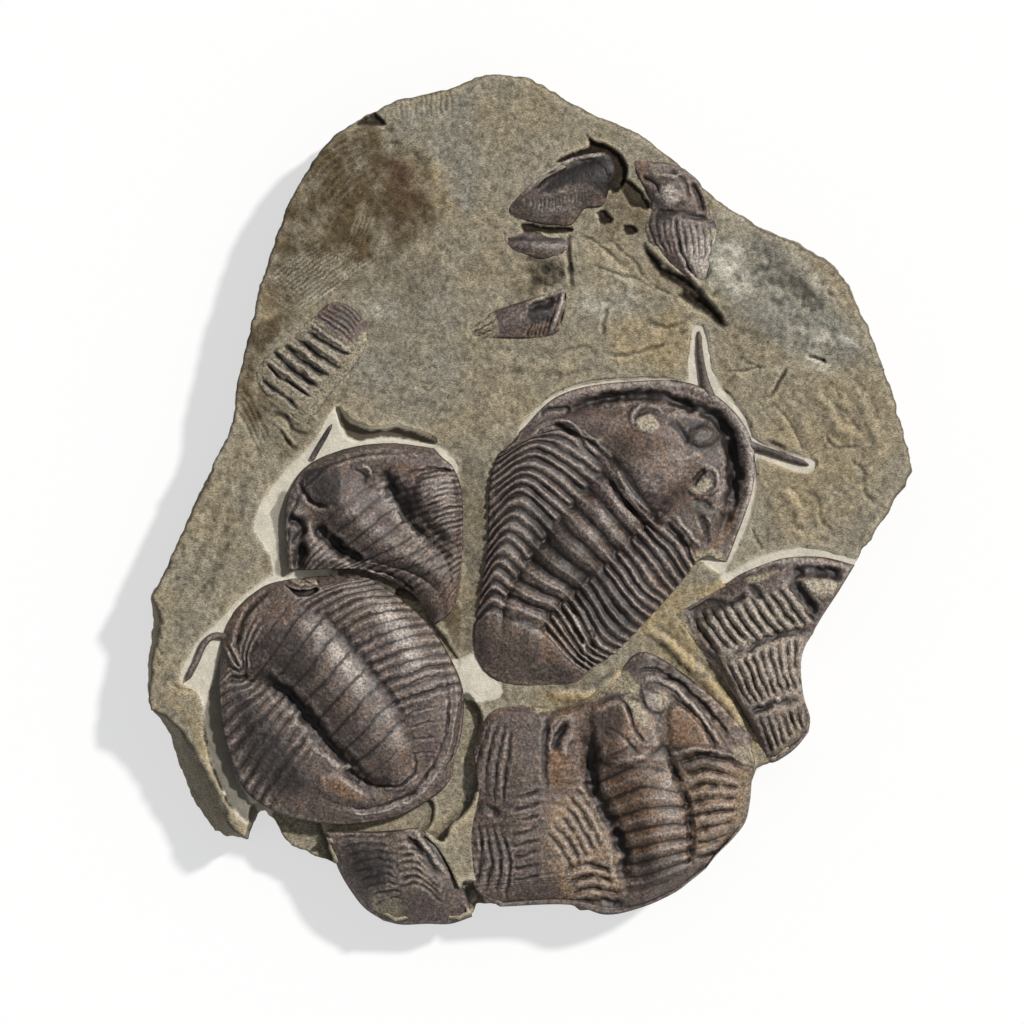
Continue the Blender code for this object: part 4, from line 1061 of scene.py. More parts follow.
CENTRAL_MARKS = [
    ("ridge", 10, 0.9, [540, 410, 570, 398, 600, 388, 640, 384, 690, 388, 725, 405, 744, 440, 749, 480,
        743, 515, 728, 545]),
    ("ridge", 9, -2.8, [556, 414, 572, 408, 600, 400, 640, 395, 680, 402, 708, 412, 724, 428, 731, 450,
        733, 480, 729, 510, 718, 532, 708, 546]),
    ("ridge", 14, -2.0, [704, 412, 724, 430, 734, 452, 736, 482, 730, 512]),
    # The eyes with rock caught in them, the boss between them and the raised middle of the head.
    ("mound", 5, 0.9, [633, 424, 640, 414, 654, 413, 662, 424, 654, 434, 640, 434]),
    ("crease", 3.5, 1.1, [632, 428, 633, 416, 641, 406, 655, 407, 664, 415]),
    ("mound", 9, 2.4, [686, 436, 696, 425, 712, 424, 720, 434, 712, 446, 694, 448]),
    ("crease", 4, 1.0, [700, 424, 713, 427, 718, 436]),
    ("ridge", 7, -1.2, [664, 408, 680, 408, 700, 412, 716, 422]),
    ("ridge", 6, -0.8, [666, 420, 680, 430, 688, 444]),
    ("mound", 20, 1.8, [622, 466, 640, 446, 668, 440, 696, 446, 704, 458, 686, 486, 660, 506, 640, 496]),
    ("crease", 3.5, 1.6, [706, 466, 714, 470, 718, 479, 714, 490, 704, 497]),
    ("ridge", 5, -1.3, [688, 486, 697, 478, 706, 468]),
    ("mound", 4, 0.6, [687, 486, 696, 482, 706, 481, 711, 486, 706, 494, 694, 496, 688, 492]),
    ("ridge", 6, -1.0, [690, 500, 705, 502, 712, 512]),
    ("crease", 3.5, 1.2, [672, 514, 684, 528, 701, 548]),
    ("ridge", 6, -1.8, [664, 520, 678, 536, 692, 552]),
    ("ridge", 6, -1.6, [698, 512, 706, 530, 704, 548]),
    # The left end of the border, broken and folded.
    ("crease", 3.5, 1.3, [528, 438, 545, 424, 560, 421, 573, 425, 585, 436, 605, 444]),
    ("crease", 4, -1.3, [540, 418, 545, 410, 565, 408, 569, 416]),
    ("ridge", 5, -1.8, [545, 430, 560, 427, 572, 434, 590, 452, 606, 466]),
    # Hind edge of the head and the long rims that bound the tail.
    ("crease", 3.5, 1.4, [615, 466, 622, 480, 634, 497, 652, 514]),
    ("ridge", 5, -1.8, [607, 476, 616, 492, 630, 508, 646, 522]),
    ("crease", 3.5, 1.5, [560, 600, 573, 616, 582, 630, 585, 650, 584, 674]),
    ("ridge", 5, -1.8, [566, 600, 580, 616, 590, 632, 592, 655]),
    ("mound", 12, 0.8, [538, 612, 556, 608, 572, 622, 580, 640, 576, 668, 556, 680, 530, 678, 520, 640]),
]  # fmt: skip

CENTRAL_TINTS = {
    "iron": [
        ("mound", 24, 0.35, [600, 420, 640, 410, 690, 440, 716, 500, 690, 520, 640, 480]),
        ("ridge", 6, 0.9, [568, 395, 590, 389, 610, 388, 628, 392]),
        ("ridge", 7, 0.9, [735, 505, 728, 528, 712, 548, 700, 558]),
        ("ridge", 12, 0.35, [540, 470, 560, 490, 575, 510]),
        ("mound", 8, 0.35, [640, 560, 665, 570, 672, 590, 655, 605, 640, 590]),
        ("mound", 10, 0.45, [538, 615, 570, 625, 578, 650, 560, 668, 535, 655]),
    ],
    "rock": [
        ("mound", 3, 1.0, [634, 421, 642, 414, 653, 415, 660, 425, 657, 434, 645, 434, 635, 431]),
        ("mound", 2, 1.0, [687, 487, 696, 482, 704, 478, 711, 480, 710, 489, 701, 493, 690, 492]),
        ("mound", 4, 0.9, [690, 556, 704, 546, 724, 552, 728, 570, 700, 585, 684, 582]),
    ],
    "pale": [
        ("ridge", 9, 0.35, [560, 398, 600, 385, 640, 380, 690, 384]),
        ("ridge", 8, 0.5, [736, 412, 748, 440, 752, 480, 744, 520]),
        ("ridge", 6, 0.6, [716, 468, 721, 486, 716, 502]),
        ("ridge", 3, 0.7, [671, 513, 684, 528, 701, 548]),
        ("ridge", 3, 0.7, [528, 438, 545, 424, 560, 421, 573, 425]),
        ("ridge", 2.5, 0.8, [560, 600, 573, 616, 582, 630, 585, 650, 584, 672]),
        ("ridge", 2.5, 0.8, [598, 628, 603, 636, 607, 652]),
        ("ridge", 26, 0.2, [625, 470, 660, 470, 690, 462]),
    ],
    "shade": [
        ("ridge", 9, 0.95, [556, 414, 572, 408, 600, 400, 640, 395, 680, 402, 708, 412, 724, 428, 731, 450,
            733, 480, 729, 510, 718, 532]),
        ("mound", 12, 0.7, [668, 420, 690, 412, 715, 420, 724, 445, 716, 462, 690, 448, 672, 436]),
        ("ridge", 14, 0.9, [708, 416, 726, 434, 735, 456, 736, 484, 730, 510]),
        ("mound", 5, 0.6, [688, 500, 706, 498, 712, 512, 700, 520, 690, 515]),
        ("mound", 10, 0.55, [530, 480, 560, 520, 600, 560, 640, 620, 600, 640, 560, 590, 526, 560]),
        ("ridge", 3.4, 0.8, [705, 386, 702, 366, 700, 350, 699, 334]),
        ("ridge", 3.4, 0.8, [750, 446, 762, 449, 785, 457, 807, 465]),
    ],
}  # fmt: skip

LOWER_LEFT_HOLE = [286, 584, 296, 588, 308, 589, 318, 587, 319, 592, 308, 597, 295, 595]
LOWER_LEFT_LIP = [286, 577, 296, 574, 304, 578, 316, 580, 318, 586, 304, 587, 292, 583]
LOWER_LEFT_MARKS = [
    ("ridge", 13, -3.4, [249, 676, 268, 681, 300, 706, 323, 738, 337, 750, 352, 768, 370, 784, 400, 784]),
    ("ridge", 8, -0.6, [322, 600, 334, 620, 350, 641, 374, 674, 399, 711, 412, 745]),
    ("crease", 3, -1.0, [351, 768, 365, 780, 382, 786, 404, 783, 416, 766, 412, 748]),
    # The tail's border.
    ("crease", 3, -0.9, [441, 655, 449, 690, 446, 736, 429, 771, 409, 794, 362, 808, 321, 797]),
    ("crease", 2.4, 0.6, [447, 652, 456, 690, 452, 738, 436, 775, 412, 800, 365, 814, 318, 804]),
    ("crease", 2.4, -0.7, [452, 652, 461, 690, 456, 742, 440, 780]),
    ("mound", 9, 1.0, [316, 776, 330, 768, 352, 778, 368, 792, 370, 806, 345, 804, 322, 796]),
    *creases(2.2, -0.45, fan([398, 690, 425, 676, 442, 676], [412, 752, 428, 752, 436, 752], 6)),
    # The head: a broken hole, cheek ridges and a looped spine base.
    ("mound", 2.5, -2.8, LOWER_LEFT_HOLE),
    ("mound", 3, 1.2, LOWER_LEFT_LIP),
    ("crease", 3, -1.0, [300, 572, 304, 580, 312, 584]),
    ("crease", 3, -1.4, [284, 577, 300, 574, 318, 573, 340, 575, 362, 579]),
    *creases(3, 0.8, fan([240, 668, 243, 640, 256, 612], [247, 676, 252, 645, 266, 622], 3)),
    ("ridge", 5, -1.5, [236, 655, 240, 630, 254, 604, 276, 590]),
    ("crease", 3.4, 1.8, [223, 642, 230, 655, 238, 668, 240, 662, 234, 648, 226, 638]),
    ("ridge", 7, -1.6, [226, 676, 238, 680, 252, 676]),
    ("crease", 4, -1.4, [372, 577, 390, 583, 408, 592, 424, 604]),
]  # fmt: skip

LOWER_LEFT_TINTS = {
    "iron": [
        ("mound", 8, 0.5, [228, 612, 246, 598, 262, 600, 260, 620, 245, 640, 230, 640]),
        ("mound", 8, 0.75, [316, 776, 335, 772, 352, 780, 366, 792, 364, 804, 340, 802]),
        ("mound", 10, 0.2, [262, 592, 300, 598, 298, 620, 272, 625]),
        ("mound", 6, 0.45, [392, 740, 406, 738, 414, 760, 410, 778, 400, 766]),
        ("mound", 10, 0.2, [400, 596, 440, 640, 448, 700, 430, 720, 418, 650]),
        ("mound", 8, 0.2, [330, 705, 355, 690, 358, 715, 340, 728]),
    ],
    "rock": [("mound", 3, 0.6, LOWER_LEFT_LIP)],
    "pale": [
        # Painted sheen: the bright highlights along the middle lobe's crest and on the right-hand ribs.
        ("ridge", 15, 0.75, [304, 612, 330, 645, 350, 668, 374, 700]),
        ("ridge", 9, 0.4, [378, 700, 395, 730, 405, 755]),
        ("ridge", 18, 0.75, [374, 598, 396, 626, 412, 655, 420, 680]),
        ("ridge", 10, 0.35, [340, 584, 366, 590, 385, 600]),
        ("ridge", 6, 0.5, [318, 804, 365, 814, 412, 800, 436, 775, 452, 738]),
        ("ridge", 4, 0.35, [223, 637, 208, 640, 198, 655, 187, 676]),
    ],
    "shade": [
        ("ridge", 13, 0.95, [252, 676, 268, 681, 300, 706, 323, 738, 334, 748]),
        ("ridge", 9, 0.35, [322, 600, 334, 620, 350, 641, 374, 674, 399, 711]),
        ("ridge", 8, 0.6, [220, 690, 224, 735, 243, 787, 272, 812]),
        ("mound", 22, 0.85, [222, 680, 250, 680, 300, 740, 320, 790, 280, 804, 240, 770]),
        ("mound", 2, 0.95, LOWER_LEFT_HOLE),
        ("mound", 14, 0.6, [262, 630, 300, 625, 330, 668, 300, 690, 262, 660]),
    ],
}  # fmt: skip

UPPER_LEFT_HOLLOWS = [
    [300, 574, 299, 550, 297, 530, 298, 512],
    [315, 520, 324, 535, 338, 546, 353, 557, 366, 568],
]  # fmt: skip
UPPER_LEFT_MARKS = [
    ("crease", 4, -0.9, [286, 570, 287, 545, 292, 515, 302, 492, 320, 472, 346, 459, 385, 453, 420, 458]),
    *[("ridge", width, -3.6, line) for width, line in zip((13, 10), UPPER_LEFT_HOLLOWS)],
    ("mound", 5, 0.8, [305, 472, 325, 467, 343, 469, 345, 503, 330, 505, 313, 500, 303, 485]),
    ("ridge", 4, -1.4, [300, 478, 304, 492, 314, 504, 330, 508]),
    ("crease", 3, 1.1, [360, 465, 368, 469, 371, 480]),
    ("crease", 3, -1.2, [354, 468, 363, 474, 366, 486]),
    ("ridge", 14, -2.8, [384, 468, 392, 488, 402, 503, 414, 524]),
    ("ridge", 8, -1.6, [405, 515, 420, 532, 436, 548, 452, 562]),
    ("mound", 9, 2.0, [414, 492, 426, 473, 450, 470, 460, 490, 463, 525, 455, 545, 440, 536, 424, 518]),
    *creases(2, -0.5, fan([412, 480, 440, 469, 459, 474], [436, 545, 452, 538, 464, 532], 15)),
    ("crease", 3, -1.3, [400, 475, 418, 471, 434, 468, 458, 474]),
    *creases(2, -0.35, fan([395, 560, 425, 530], [448, 612, 462, 590], 10)),
    ("crease", 3, -1.5, [362, 568, 384, 572, 402, 580, 418, 596]),
]  # fmt: skip

UPPER_LEFT_TINTS = {
    "iron": [
        ("mound", 5, 0.6, [322, 466, 345, 459, 366, 459, 350, 466, 330, 470]),
        ("mound", 9, 0.6, [392, 465, 408, 460, 424, 468, 415, 478, 398, 480]),
        ("mound", 8, 0.35, [300, 490, 318, 506, 330, 520, 312, 515]),
        ("mound", 12, 0.4, [430, 590, 455, 575, 460, 600, 445, 620]),
    ],
    "pale": [
        ("ridge", 12, 0.45, [368, 482, 390, 506, 412, 528, 440, 552, 456, 568]),
        ("ridge", 12, 0.35, [340, 556, 366, 572, 400, 580]),
        ("ridge", 3, 0.7, [360, 465, 368, 469, 371, 480]),
        ("mound", 12, 0.3, [420, 480, 450, 474, 458, 500, 440, 510]),
    ],
    "shade": [
        *[("ridge", width, 1.0, line) for width, line in zip((12, 9), UPPER_LEFT_HOLLOWS)],
        ("mound", 4, 0.75, [303, 472, 325, 467, 343, 469, 345, 500, 330, 505, 313, 500]),
        ("mound", 10, 0.6, [380, 480, 400, 478, 424, 490, 420, 515, 408, 520, 392, 505]),
        ("ridge", 10, 0.55, [283, 572, 283, 545, 288, 515, 298, 490, 318, 466, 345, 452, 380, 446]),
        ("ridge", 4, 0.8, [315, 457, 324, 440, 333, 425]),
        ("mound", 12, 0.35, [430, 520, 460, 530, 455, 550, 440, 545]),
    ],
}  # fmt: skip

LOWER_RIGHT_MARKS = [
    # The head: its broad border, the cheek behind it and crumbs of rock along the top.
    ("ridge", 17, 1.6, [624, 658, 640, 656, 660, 660, 694, 682, 722, 706, 744, 736, 756, 758]),
    ("crease", 4, -1.8, [630, 676, 648, 668, 672, 678, 700, 702, 724, 730, 740, 754]),
    ("ridge", 4, 1.3, [640, 682, 656, 678, 674, 688, 696, 710, 716, 736, 730, 756]),
    ("ridge", 4, -1.0, [664, 692, 686, 708, 706, 732, 718, 754]),
    ("mound", 7, 0.9, [668, 706, 688, 706, 706, 724, 712, 744, 692, 750, 670, 745]),
    ("mound", 5, 1.1, [640, 686, 652, 690, 664, 698, 662, 712, 650, 712, 642, 700]),
    ("mound", 9, 1.6, [590, 712, 604, 698, 624, 694, 646, 704, 660, 726, 662, 748, 640, 764, 612, 768,
        594, 752]),
    ("crease", 3.4, -1.2, [616, 694, 628, 708, 634, 728, 646, 744]),
    ("crease", 3, -0.8, [604, 726, 622, 736, 640, 756]),
    # The axis and its side furrows.
    ("ridge", 13, -2.6, [586, 722, 590, 750, 592, 784, 602, 807, 615, 830, 622, 853, 624, 876, 634, 892]),
    ("ridge", 9, -1.4, [590, 778, 600, 806, 614, 832]),
    ("ridge", 7, -1.8, [664, 742, 671, 762, 680, 786, 686, 804, 689, 826, 690, 850, 689, 869]),
    *creases(7, -1.9, fan([674, 764, 700, 756, 724, 760, 744, 770], [693, 858, 706, 856, 720, 850, 734, 838],
        8)),
    ("crease", 4, 1.4, [666, 754, 698, 748, 726, 754, 748, 764]),
    # The left cheek, with its hooked eye, and crumpled ribs below it.
    ("mound", 14, 1.0, [548, 716, 560, 706, 578, 708, 584, 735, 582, 770, 566, 790, 550, 780, 544, 745]),
    ("ridge", 7, -1.6, [556, 752, 556, 740, 562, 729, 570, 724]),
    ("ridge", 7, 1.2, [564, 758, 566, 742, 574, 734]),
    ("ridge", 5, -0.8, [546, 796, 545, 760, 547, 722, 560, 706]),
    *creases(4.4, -0.9, fan([546, 832, 560, 846, 574, 870], [572, 784, 590, 806, 610, 846], 6)),
    *creases(6, -1.7, fan([562, 872, 586, 864, 614, 872], [574, 904, 598, 900, 626, 904], 4)),
    # Left-hand lobes.
    *creases(4, -0.9, fan([478, 800, 476, 762, 492, 718], [502, 806, 506, 766, 512, 724], 4)),
    *creases(4, -0.9, fan([474, 892, 482, 855, 478, 820], [506, 898, 510, 862, 498, 822], 4)),
    ("ridge", 7, -1.2, [468, 812, 484, 806, 502, 816]),
    *creases(3.4, -0.7, fan([510, 800, 540, 790], [512, 880, 540, 875], 8)),
]  # fmt: skip

LOWER_RIGHT_TINTS = {
    "iron": [
        ("mound", 8, 0.75, [668, 706, 690, 704, 708, 722, 712, 744, 692, 748, 670, 742]),
        ("mound", 6, 0.9, [546, 748, 568, 750, 572, 782, 550, 788]),
        ("mound", 14, 0.6, [676, 764, 750, 764, 748, 815, 720, 850, 692, 850]),
        ("mound", 14, 0.5, [600, 770, 650, 780, 664, 830, 650, 870, 620, 850, 606, 810]),
        ("mound", 14, 0.7, [546, 800, 590, 796, 622, 860, 620, 900, 560, 896]),
        ("mound", 8, 0.5, [596, 700, 640, 700, 656, 720, 640, 740, 604, 730]),
        ("mound", 30, 0.4, [540, 700, 620, 690, 690, 690, 765, 750, 755, 830, 640, 900, 540, 900]),
        ("ridge", 9, 0.4, [700, 690, 725, 713, 744, 740]),
    ],
    "rock": [
        ("mound", 4, 0.9, [652, 688, 664, 690, 672, 702, 664, 712, 654, 706]),
        ("mound", 5, 0.8, [622, 696, 638, 694, 650, 712, 648, 732, 636, 722]),
        ("mound", 4, 0.9, [536, 690, 598, 690, 604, 698, 570, 706, 536, 714]),
        ("mound", 4, 0.9, [596, 676, 622, 668, 636, 680, 640, 694, 610, 694, 596, 690]),
        ("mound", 12, 0.2, [672, 770, 748, 765, 745, 830, 700, 850, 688, 820]),
        ("mound", 14, 0.25, [548, 800, 600, 800, 625, 880, 580, 905, 550, 880]),
        ("mound", 10, 0.4, [742, 770, 752, 770, 748, 820, 735, 832]),
        ("mound", 8, 0.8, [730, 745, 758, 745, 758, 768, 738, 766]),
    ],
    "pale": [
        ("ridge", 4, 0.6, [640, 682, 656, 678, 674, 688, 696, 710, 716, 736]),
        ("ridge", 3, 0.5, [624, 654, 640, 651, 662, 656, 698, 678, 728, 704]),
        ("ridge", 10, 0.4, [648, 690, 656, 715, 655, 740]),
        ("ridge", 10, 0.4, [662, 760, 668, 790, 672, 830]),
    ],
    "shade": [
        ("ridge", 9, 0.5, [626, 662, 645, 660, 672, 668, 702, 692]),
        ("ridge", 13, 0.7, [586, 722, 590, 750, 592, 784, 602, 807, 615, 830, 622, 853, 624, 876]),
        ("mound", 8, 0.7, [590, 716, 606, 702, 622, 704, 628, 724, 616, 740, 600, 736]),
        ("ridge", 6, 0.5, [545, 790, 543, 750, 547, 722, 560, 708, 580, 704]),
        ("ridge", 6, 0.6, [556, 754, 556, 740, 562, 727, 572, 722]),
        ("mound", 10, 0.5, [672, 754, 720, 754, 716, 770, 678, 773]),
        ("mound", 12, 0.5, [630, 850, 680, 850, 680, 885, 640, 890]),
    ],
}  # fmt: skip

RIGHT_EDGE_CRACK = [788, 578, 798, 590, 810, 604, 820, 614]
RIGHT_EDGE_CLEFTS = [
    [684, 606, 694, 598, 712, 594, 730, 597, 742, 590, 748, 598, 738, 606, 722, 612, 708, 622, 694, 622],
    [746, 586, 754, 582, 764, 590, 762, 600, 752, 600],
]  # fmt: skip
RIGHT_EDGE_MARKS = [
    ("ridge", 6, 0.9, [728, 576, 745, 569, 770, 562, 800, 560, 830, 564, 852, 570]),
    ("ridge", 9, -2.6, [782, 580, 795, 573, 812, 571, 830, 573, 848, 578]),
    ("ridge", 9, -2.4, RIGHT_EDGE_CRACK),
    ("mound", 5, 1.2, [802, 578, 826, 578, 838, 584, 830, 598, 812, 596, 802, 586]),
    ("mound", 7, -1.4, RIGHT_EDGE_CLEFTS[0]),
    ("mound", 6, -1.2, RIGHT_EDGE_CLEFTS[1]),
    *creases(4.6, -1.5, fan([690, 612, 703, 634, 722, 656], [786, 583, 800, 603, 816, 624], 11)),
    *creases(4.6, -1.4, fan([724, 660, 737, 684, 751, 708], [795, 634, 795, 662, 803, 692], 9)),
    *creases(4.2, -1.2, fan([757, 716, 766, 735, 772, 755], [803, 701, 806, 715, 809, 727], 7)),
    ("ridge", 7, -1.8, [722, 660, 740, 652, 760, 642, 780, 635, 816, 627]),
    ("ridge", 7, -1.8, [749, 713, 763, 708, 778, 703, 802, 699]),
    ("mound", 4, 1.0, disc(762, 704, 5)),
    ("mound", 4, 1.0, disc(777, 700, 5)),
]  # fmt: skip

RIGHT_EDGE_TINTS = {
    "iron": [
        ("mound", 12, 0.4, [740, 610, 790, 600, 800, 622, 760, 636]),
        ("mound", 12, 0.45, [730, 660, 765, 660, 775, 690, 756, 706]),
        ("mound", 8, 0.4, [795, 705, 808, 715, 804, 735]),
        ("mound", 20, 0.45, [700, 610, 790, 596, 806, 650, 800, 720, 760, 720, 730, 660]),
    ],
    "rock": [
        ("mound", 14, 0.35, [690, 616, 730, 600, 800, 596, 812, 700, 756, 716, 716, 660]),
        ("mound", 3, 0.95, [803, 578, 826, 578, 838, 584, 832, 598, 814, 598, 803, 588]),
        ("mound", 3, 0.9, [744, 576, 765, 572, 780, 570, 772, 578, 750, 584]),
        ("mound", 5, 0.9, [672, 612, 684, 606, 690, 620, 706, 652, 700, 652, 684, 632]),
        ("mound", 14, 0.35, [722, 606, 790, 592, 810, 622, 740, 650]),
        ("mound", 10, 0.4, [775, 715, 806, 715, 800, 745, 770, 756]),
    ],
    "pale": [
        ("ridge", 7, 0.45, [728, 576, 745, 569, 770, 562, 800, 560, 830, 564]),
        ("mound", 3, 0.7, disc(762, 706, 5)),
        ("mound", 3, 0.7, disc(777, 701, 5)),
        ("mound", 3, 0.5, disc(789, 697, 4)),
        ("mound", 20, 0.3, [700, 612, 800, 600, 806, 700, 752, 712]),
        ("ridge", 5, 0.5, [690, 640, 712, 662, 735, 695, 750, 715]),
    ],
    "shade": [
        ("ridge", 9, 1.0, [784, 580, 795, 573, 812, 571, 830, 573, 848, 578]),
        ("ridge", 8, 0.9, RIGHT_EDGE_CRACK),
        *[("mound", 6, 0.5, outline) for outline in RIGHT_EDGE_CLEFTS],
    ],
}  # fmt: skip

TOP_HEAD_MARKS = [
    ("ridge", 5, 1.0, [512, 200, 527, 188, 545, 173, 567, 161, 589, 155, 606, 153]),
    ("ridge", 6, -1.4, [527, 194, 545, 180, 567, 168, 589, 162, 606, 161]),
    ("crease", 2.5, 0.8, [594, 160, 604, 166, 611, 178]),
    ("crease", 2.5, -1.0, [611, 172, 609, 190, 606, 204]),
    *creases(2, -0.3, fan([530, 214, 534, 200], [590, 206, 588, 190], 16)),
]  # fmt: skip

TOP_HEAD_TINTS = {
    "shade": [
        ("mound", 7, 1.0, [536, 194, 552, 175, 570, 164, 592, 157, 616, 154, 622, 180, 608, 200, 592, 190,
            570, 190, 550, 196]),
        ("mound", 4, 0.8, [584, 160, 616, 156, 622, 182, 608, 200, 596, 186]),
        ("mound", 12, 0.3, [516, 200, 560, 186, 604, 190, 600, 208, 560, 226, 520, 220]),
    ],
    "pale": [
        ("ridge", 3.5, 1.0, [516, 197, 527, 188, 545, 173, 567, 161, 589, 155, 606, 153]),
        ("ridge", 13, 0.55, [528, 212, 552, 210, 580, 204]),
        ("crease", 2.2, 1.0, [611, 179, 610, 192, 608, 207]),
        ("crease", 2.0, 0.8, [597, 157, 605, 162, 611, 170]),
    ],
    "iron": [("mound", 6, 0.3, [562, 210, 582, 208, 575, 222, 560, 224])],
}  # fmt: skip

TOP_RIM_TINTS = {
    "shade": [("mound", 6, 0.9, [506, 236, 569, 234, 569, 245, 550, 246, 506, 244])],
    "iron": [("mound", 4, 0.6, [527, 246, 540, 252, 536, 258, 526, 256])],
}  # fmt: skip

TOP_TAIL_MARKS = [
    ("crease", 3.5, 1.2, [526, 302, 542, 297, 560, 290, 567, 285]),
    ("ridge", 6, -1.8, [527, 308, 545, 304, 556, 298]),
    *creases(2.5, -0.8, fan([532, 322, 527, 338], [552, 316, 546, 337], 6)),
    ("ridge", 4, 1.4, [564, 290, 558, 314, 549, 333]),
    ("ridge", 4, -2.0, [569, 288, 567, 308, 562, 326]),
    *creases(2.5, -0.8, fan([468, 328, 492, 314], [474, 338, 494, 330], 3)),
]  # fmt: skip

TOP_TAIL_TINTS = {
    "iron": [("mound", 5, 0.45, [528, 326, 550, 320, 548, 337, 528, 340])],
    "rock": [
        ("mound", 4, 0.9, [464, 322, 492, 308, 500, 340, 472, 340]),
        ("ridge", 4, 0.8, [526, 303, 545, 297, 560, 291]),
    ],
    "shade": [
        ("mound", 5, 0.95, [528, 306, 554, 300, 556, 312, 548, 322, 528, 324]),
        ("ridge", 4, 0.95, [569, 286, 567, 308, 561, 328]),
    ],
    "pale": [("ridge", 3, 0.7, [564, 290, 558, 314, 549, 333])],
}  # fmt: skip

TOP_FAN_MARKS = [
    *creases(2.4, -0.5, fan([650, 216, 650, 232, 662, 254], [708, 224, 712, 240, 709, 268], 10)),
    ("crease", 3.5, -1.6, [676, 216, 677, 236, 686, 262, 698, 282]),
    *[("crease", 5, rise, line) for rise, line in ((-1.6, [640, 176, 654, 184, 662, 198]), (1.3, [648, 172,
        664, 176, 684, 176]), (-1.4, [668, 170, 684, 182, 690, 200]), (1.2, [652, 196, 672, 192, 686, 204]),
        (-1.5, [692, 182, 698, 198, 704, 212]), (1.2, [700, 184, 705, 198, 710, 214]))],
    ("ridge", 5, -1.0, [650, 212, 672, 213, 690, 216, 714, 222]),
    ("mound", 7, 1.0, [656, 186, 672, 184, 682, 194, 678, 206, 660, 206]),
]  # fmt: skip

TOP_FAN_TINTS = {
    "iron": [
        ("mound", 6, 0.6, [632, 160, 646, 162, 650, 180, 640, 182]),
        ("mound", 5, 0.6, [686, 176, 702, 186, 710, 212, 692, 210]),
    ],
    "rock": [
        ("mound", 6, 0.5, [648, 162, 668, 164, 664, 178, 650, 180]),
        ("mound", 3, 1.0, [706, 232, 720, 228, 722, 266, 710, 292, 704, 284, 712, 260]),
    ],
    "pale": [
        ("mound", 5, 0.85, [655, 188, 674, 184, 682, 196, 676, 207, 658, 206]),
        ("mound", 6, 1.0, [678, 252, 700, 238, 718, 236, 720, 266, 708, 292, 694, 286]),
        ("mound", 8, 0.35, [684, 228, 706, 228, 710, 250, 690, 250]),
    ],
    "shade": [
        ("mound", 4, 0.8, [704, 217, 718, 220, 722, 228, 712, 230]),
        ("ridge", 6, 0.85, [654, 213, 664, 217, 676, 220]),
        ("mound", 5, 0.5, [648, 218, 664, 216, 660, 240, 652, 240]),
        ("mound", 5, 0.6, [688, 182, 698, 182, 708, 210, 696, 212]),
    ],
}  # fmt: skip

RIB_FURROWS = [
    [304, 331, 324, 342, 336, 350, 354, 355],
    [293, 337, 308, 347, 328, 363, 346, 370],
    [283, 344, 300, 359, 315, 370, 332, 378],
    [272, 350, 286, 364, 304, 378, 322, 388],
    [267, 364, 279, 376, 294, 386, 312, 398],
    [258, 376, 272, 388, 284, 396, 300, 410],
]  # fmt: skip
RIB_WIDTHS = (3.2, 4.0, 4.8, 4.2, 2.6, 3.6)

RIB_MARKS = [
    *[("crease", width, -1.5, line) for width, line in zip(RIB_WIDTHS, RIB_FURROWS)],
    *creases(3.4, 1.3, fan([307, 323, 327, 336, 350, 352], [262, 358, 284, 372, 312, 396], 5)),
    *creases(2.6, -0.6, fan([314, 314, 336, 328, 352, 342], [340, 301, 352, 308, 363, 322], 6)),
]  # fmt: skip

RIB_TINTS = {
    "rock": [
        ("mound", 4, 0.9, [300, 318, 316, 318, 336, 332, 356, 346, 350, 370, 330, 395, 300, 425, 252, 388,
            262, 355]),
        ("mound", 5, 0.9, [352, 338, 372, 330, 368, 360, 340, 400, 316, 436, 296, 430, 330, 385]),
    ],
    "iron": [
        ("mound", 8, 0.35, [316, 306, 335, 298, 358, 304, 365, 320, 352, 342, 328, 332]),
        ("mound", 8, 0.4, [262, 360, 290, 366, 300, 392, 272, 392]),
    ],
    "pale": [("ridge", 4, 0.6, [307, 323, 327, 336, 350, 353])],
    "shade": [
        *[("crease", width, 0.9, line) for width, line in zip(RIB_WIDTHS, RIB_FURROWS)],
        ("mound", 6, 0.2, [250, 350, 300, 312, 360, 340, 338, 392, 306, 432, 244, 388]),
        ("mound", 6, 0.5, [330, 302, 352, 304, 362, 318, 350, 334, 336, 322]),
    ],
}  # fmt: skip

BOTTOM_LIP = [388, 826, 410, 829, 424, 844, 437, 862, 450, 880]
BOTTOM_MARKS = [
    *creases(2.6, -0.6, fan([334, 840, 360, 836, 392, 838], [372, 905, 392, 898, 404, 900], 9)),
    *creases(3.2, -0.9, fan([392, 840, 416, 842, 436, 864], [396, 888, 420, 884, 444, 904], 7)),
    ("ridge", 4, 1.4, BOTTOM_LIP),
    ("ridge", 6, -1.6, [396, 836, 412, 842, 426, 860, 440, 880]),
]  # fmt: skip

BOTTOM_TINTS = {
    "pale": [("ridge", 5, 0.9, BOTTOM_LIP)],
    "iron": [("mound", 16, 0.5, [396, 842, 424, 850, 440, 884, 404, 900])],
    "shade": [
        ("mound", 30, 0.3, [330, 836, 440, 836, 470, 900, 400, 920, 350, 890]),
        ("mound", 14, 0.6, [340, 838, 385, 838, 395, 880, 360, 895]),
        ("ridge", 6, 0.8, [440, 850, 452, 870, 466, 895]),
    ],
    "rock": [
        ("mound", 6, 0.8, [366, 896, 398, 894, 404, 918, 378, 918]),
        ("mound", 12, 0.25, [398, 842, 420, 848, 436, 880, 410, 900, 396, 870]),
    ],
}  # fmt: skip

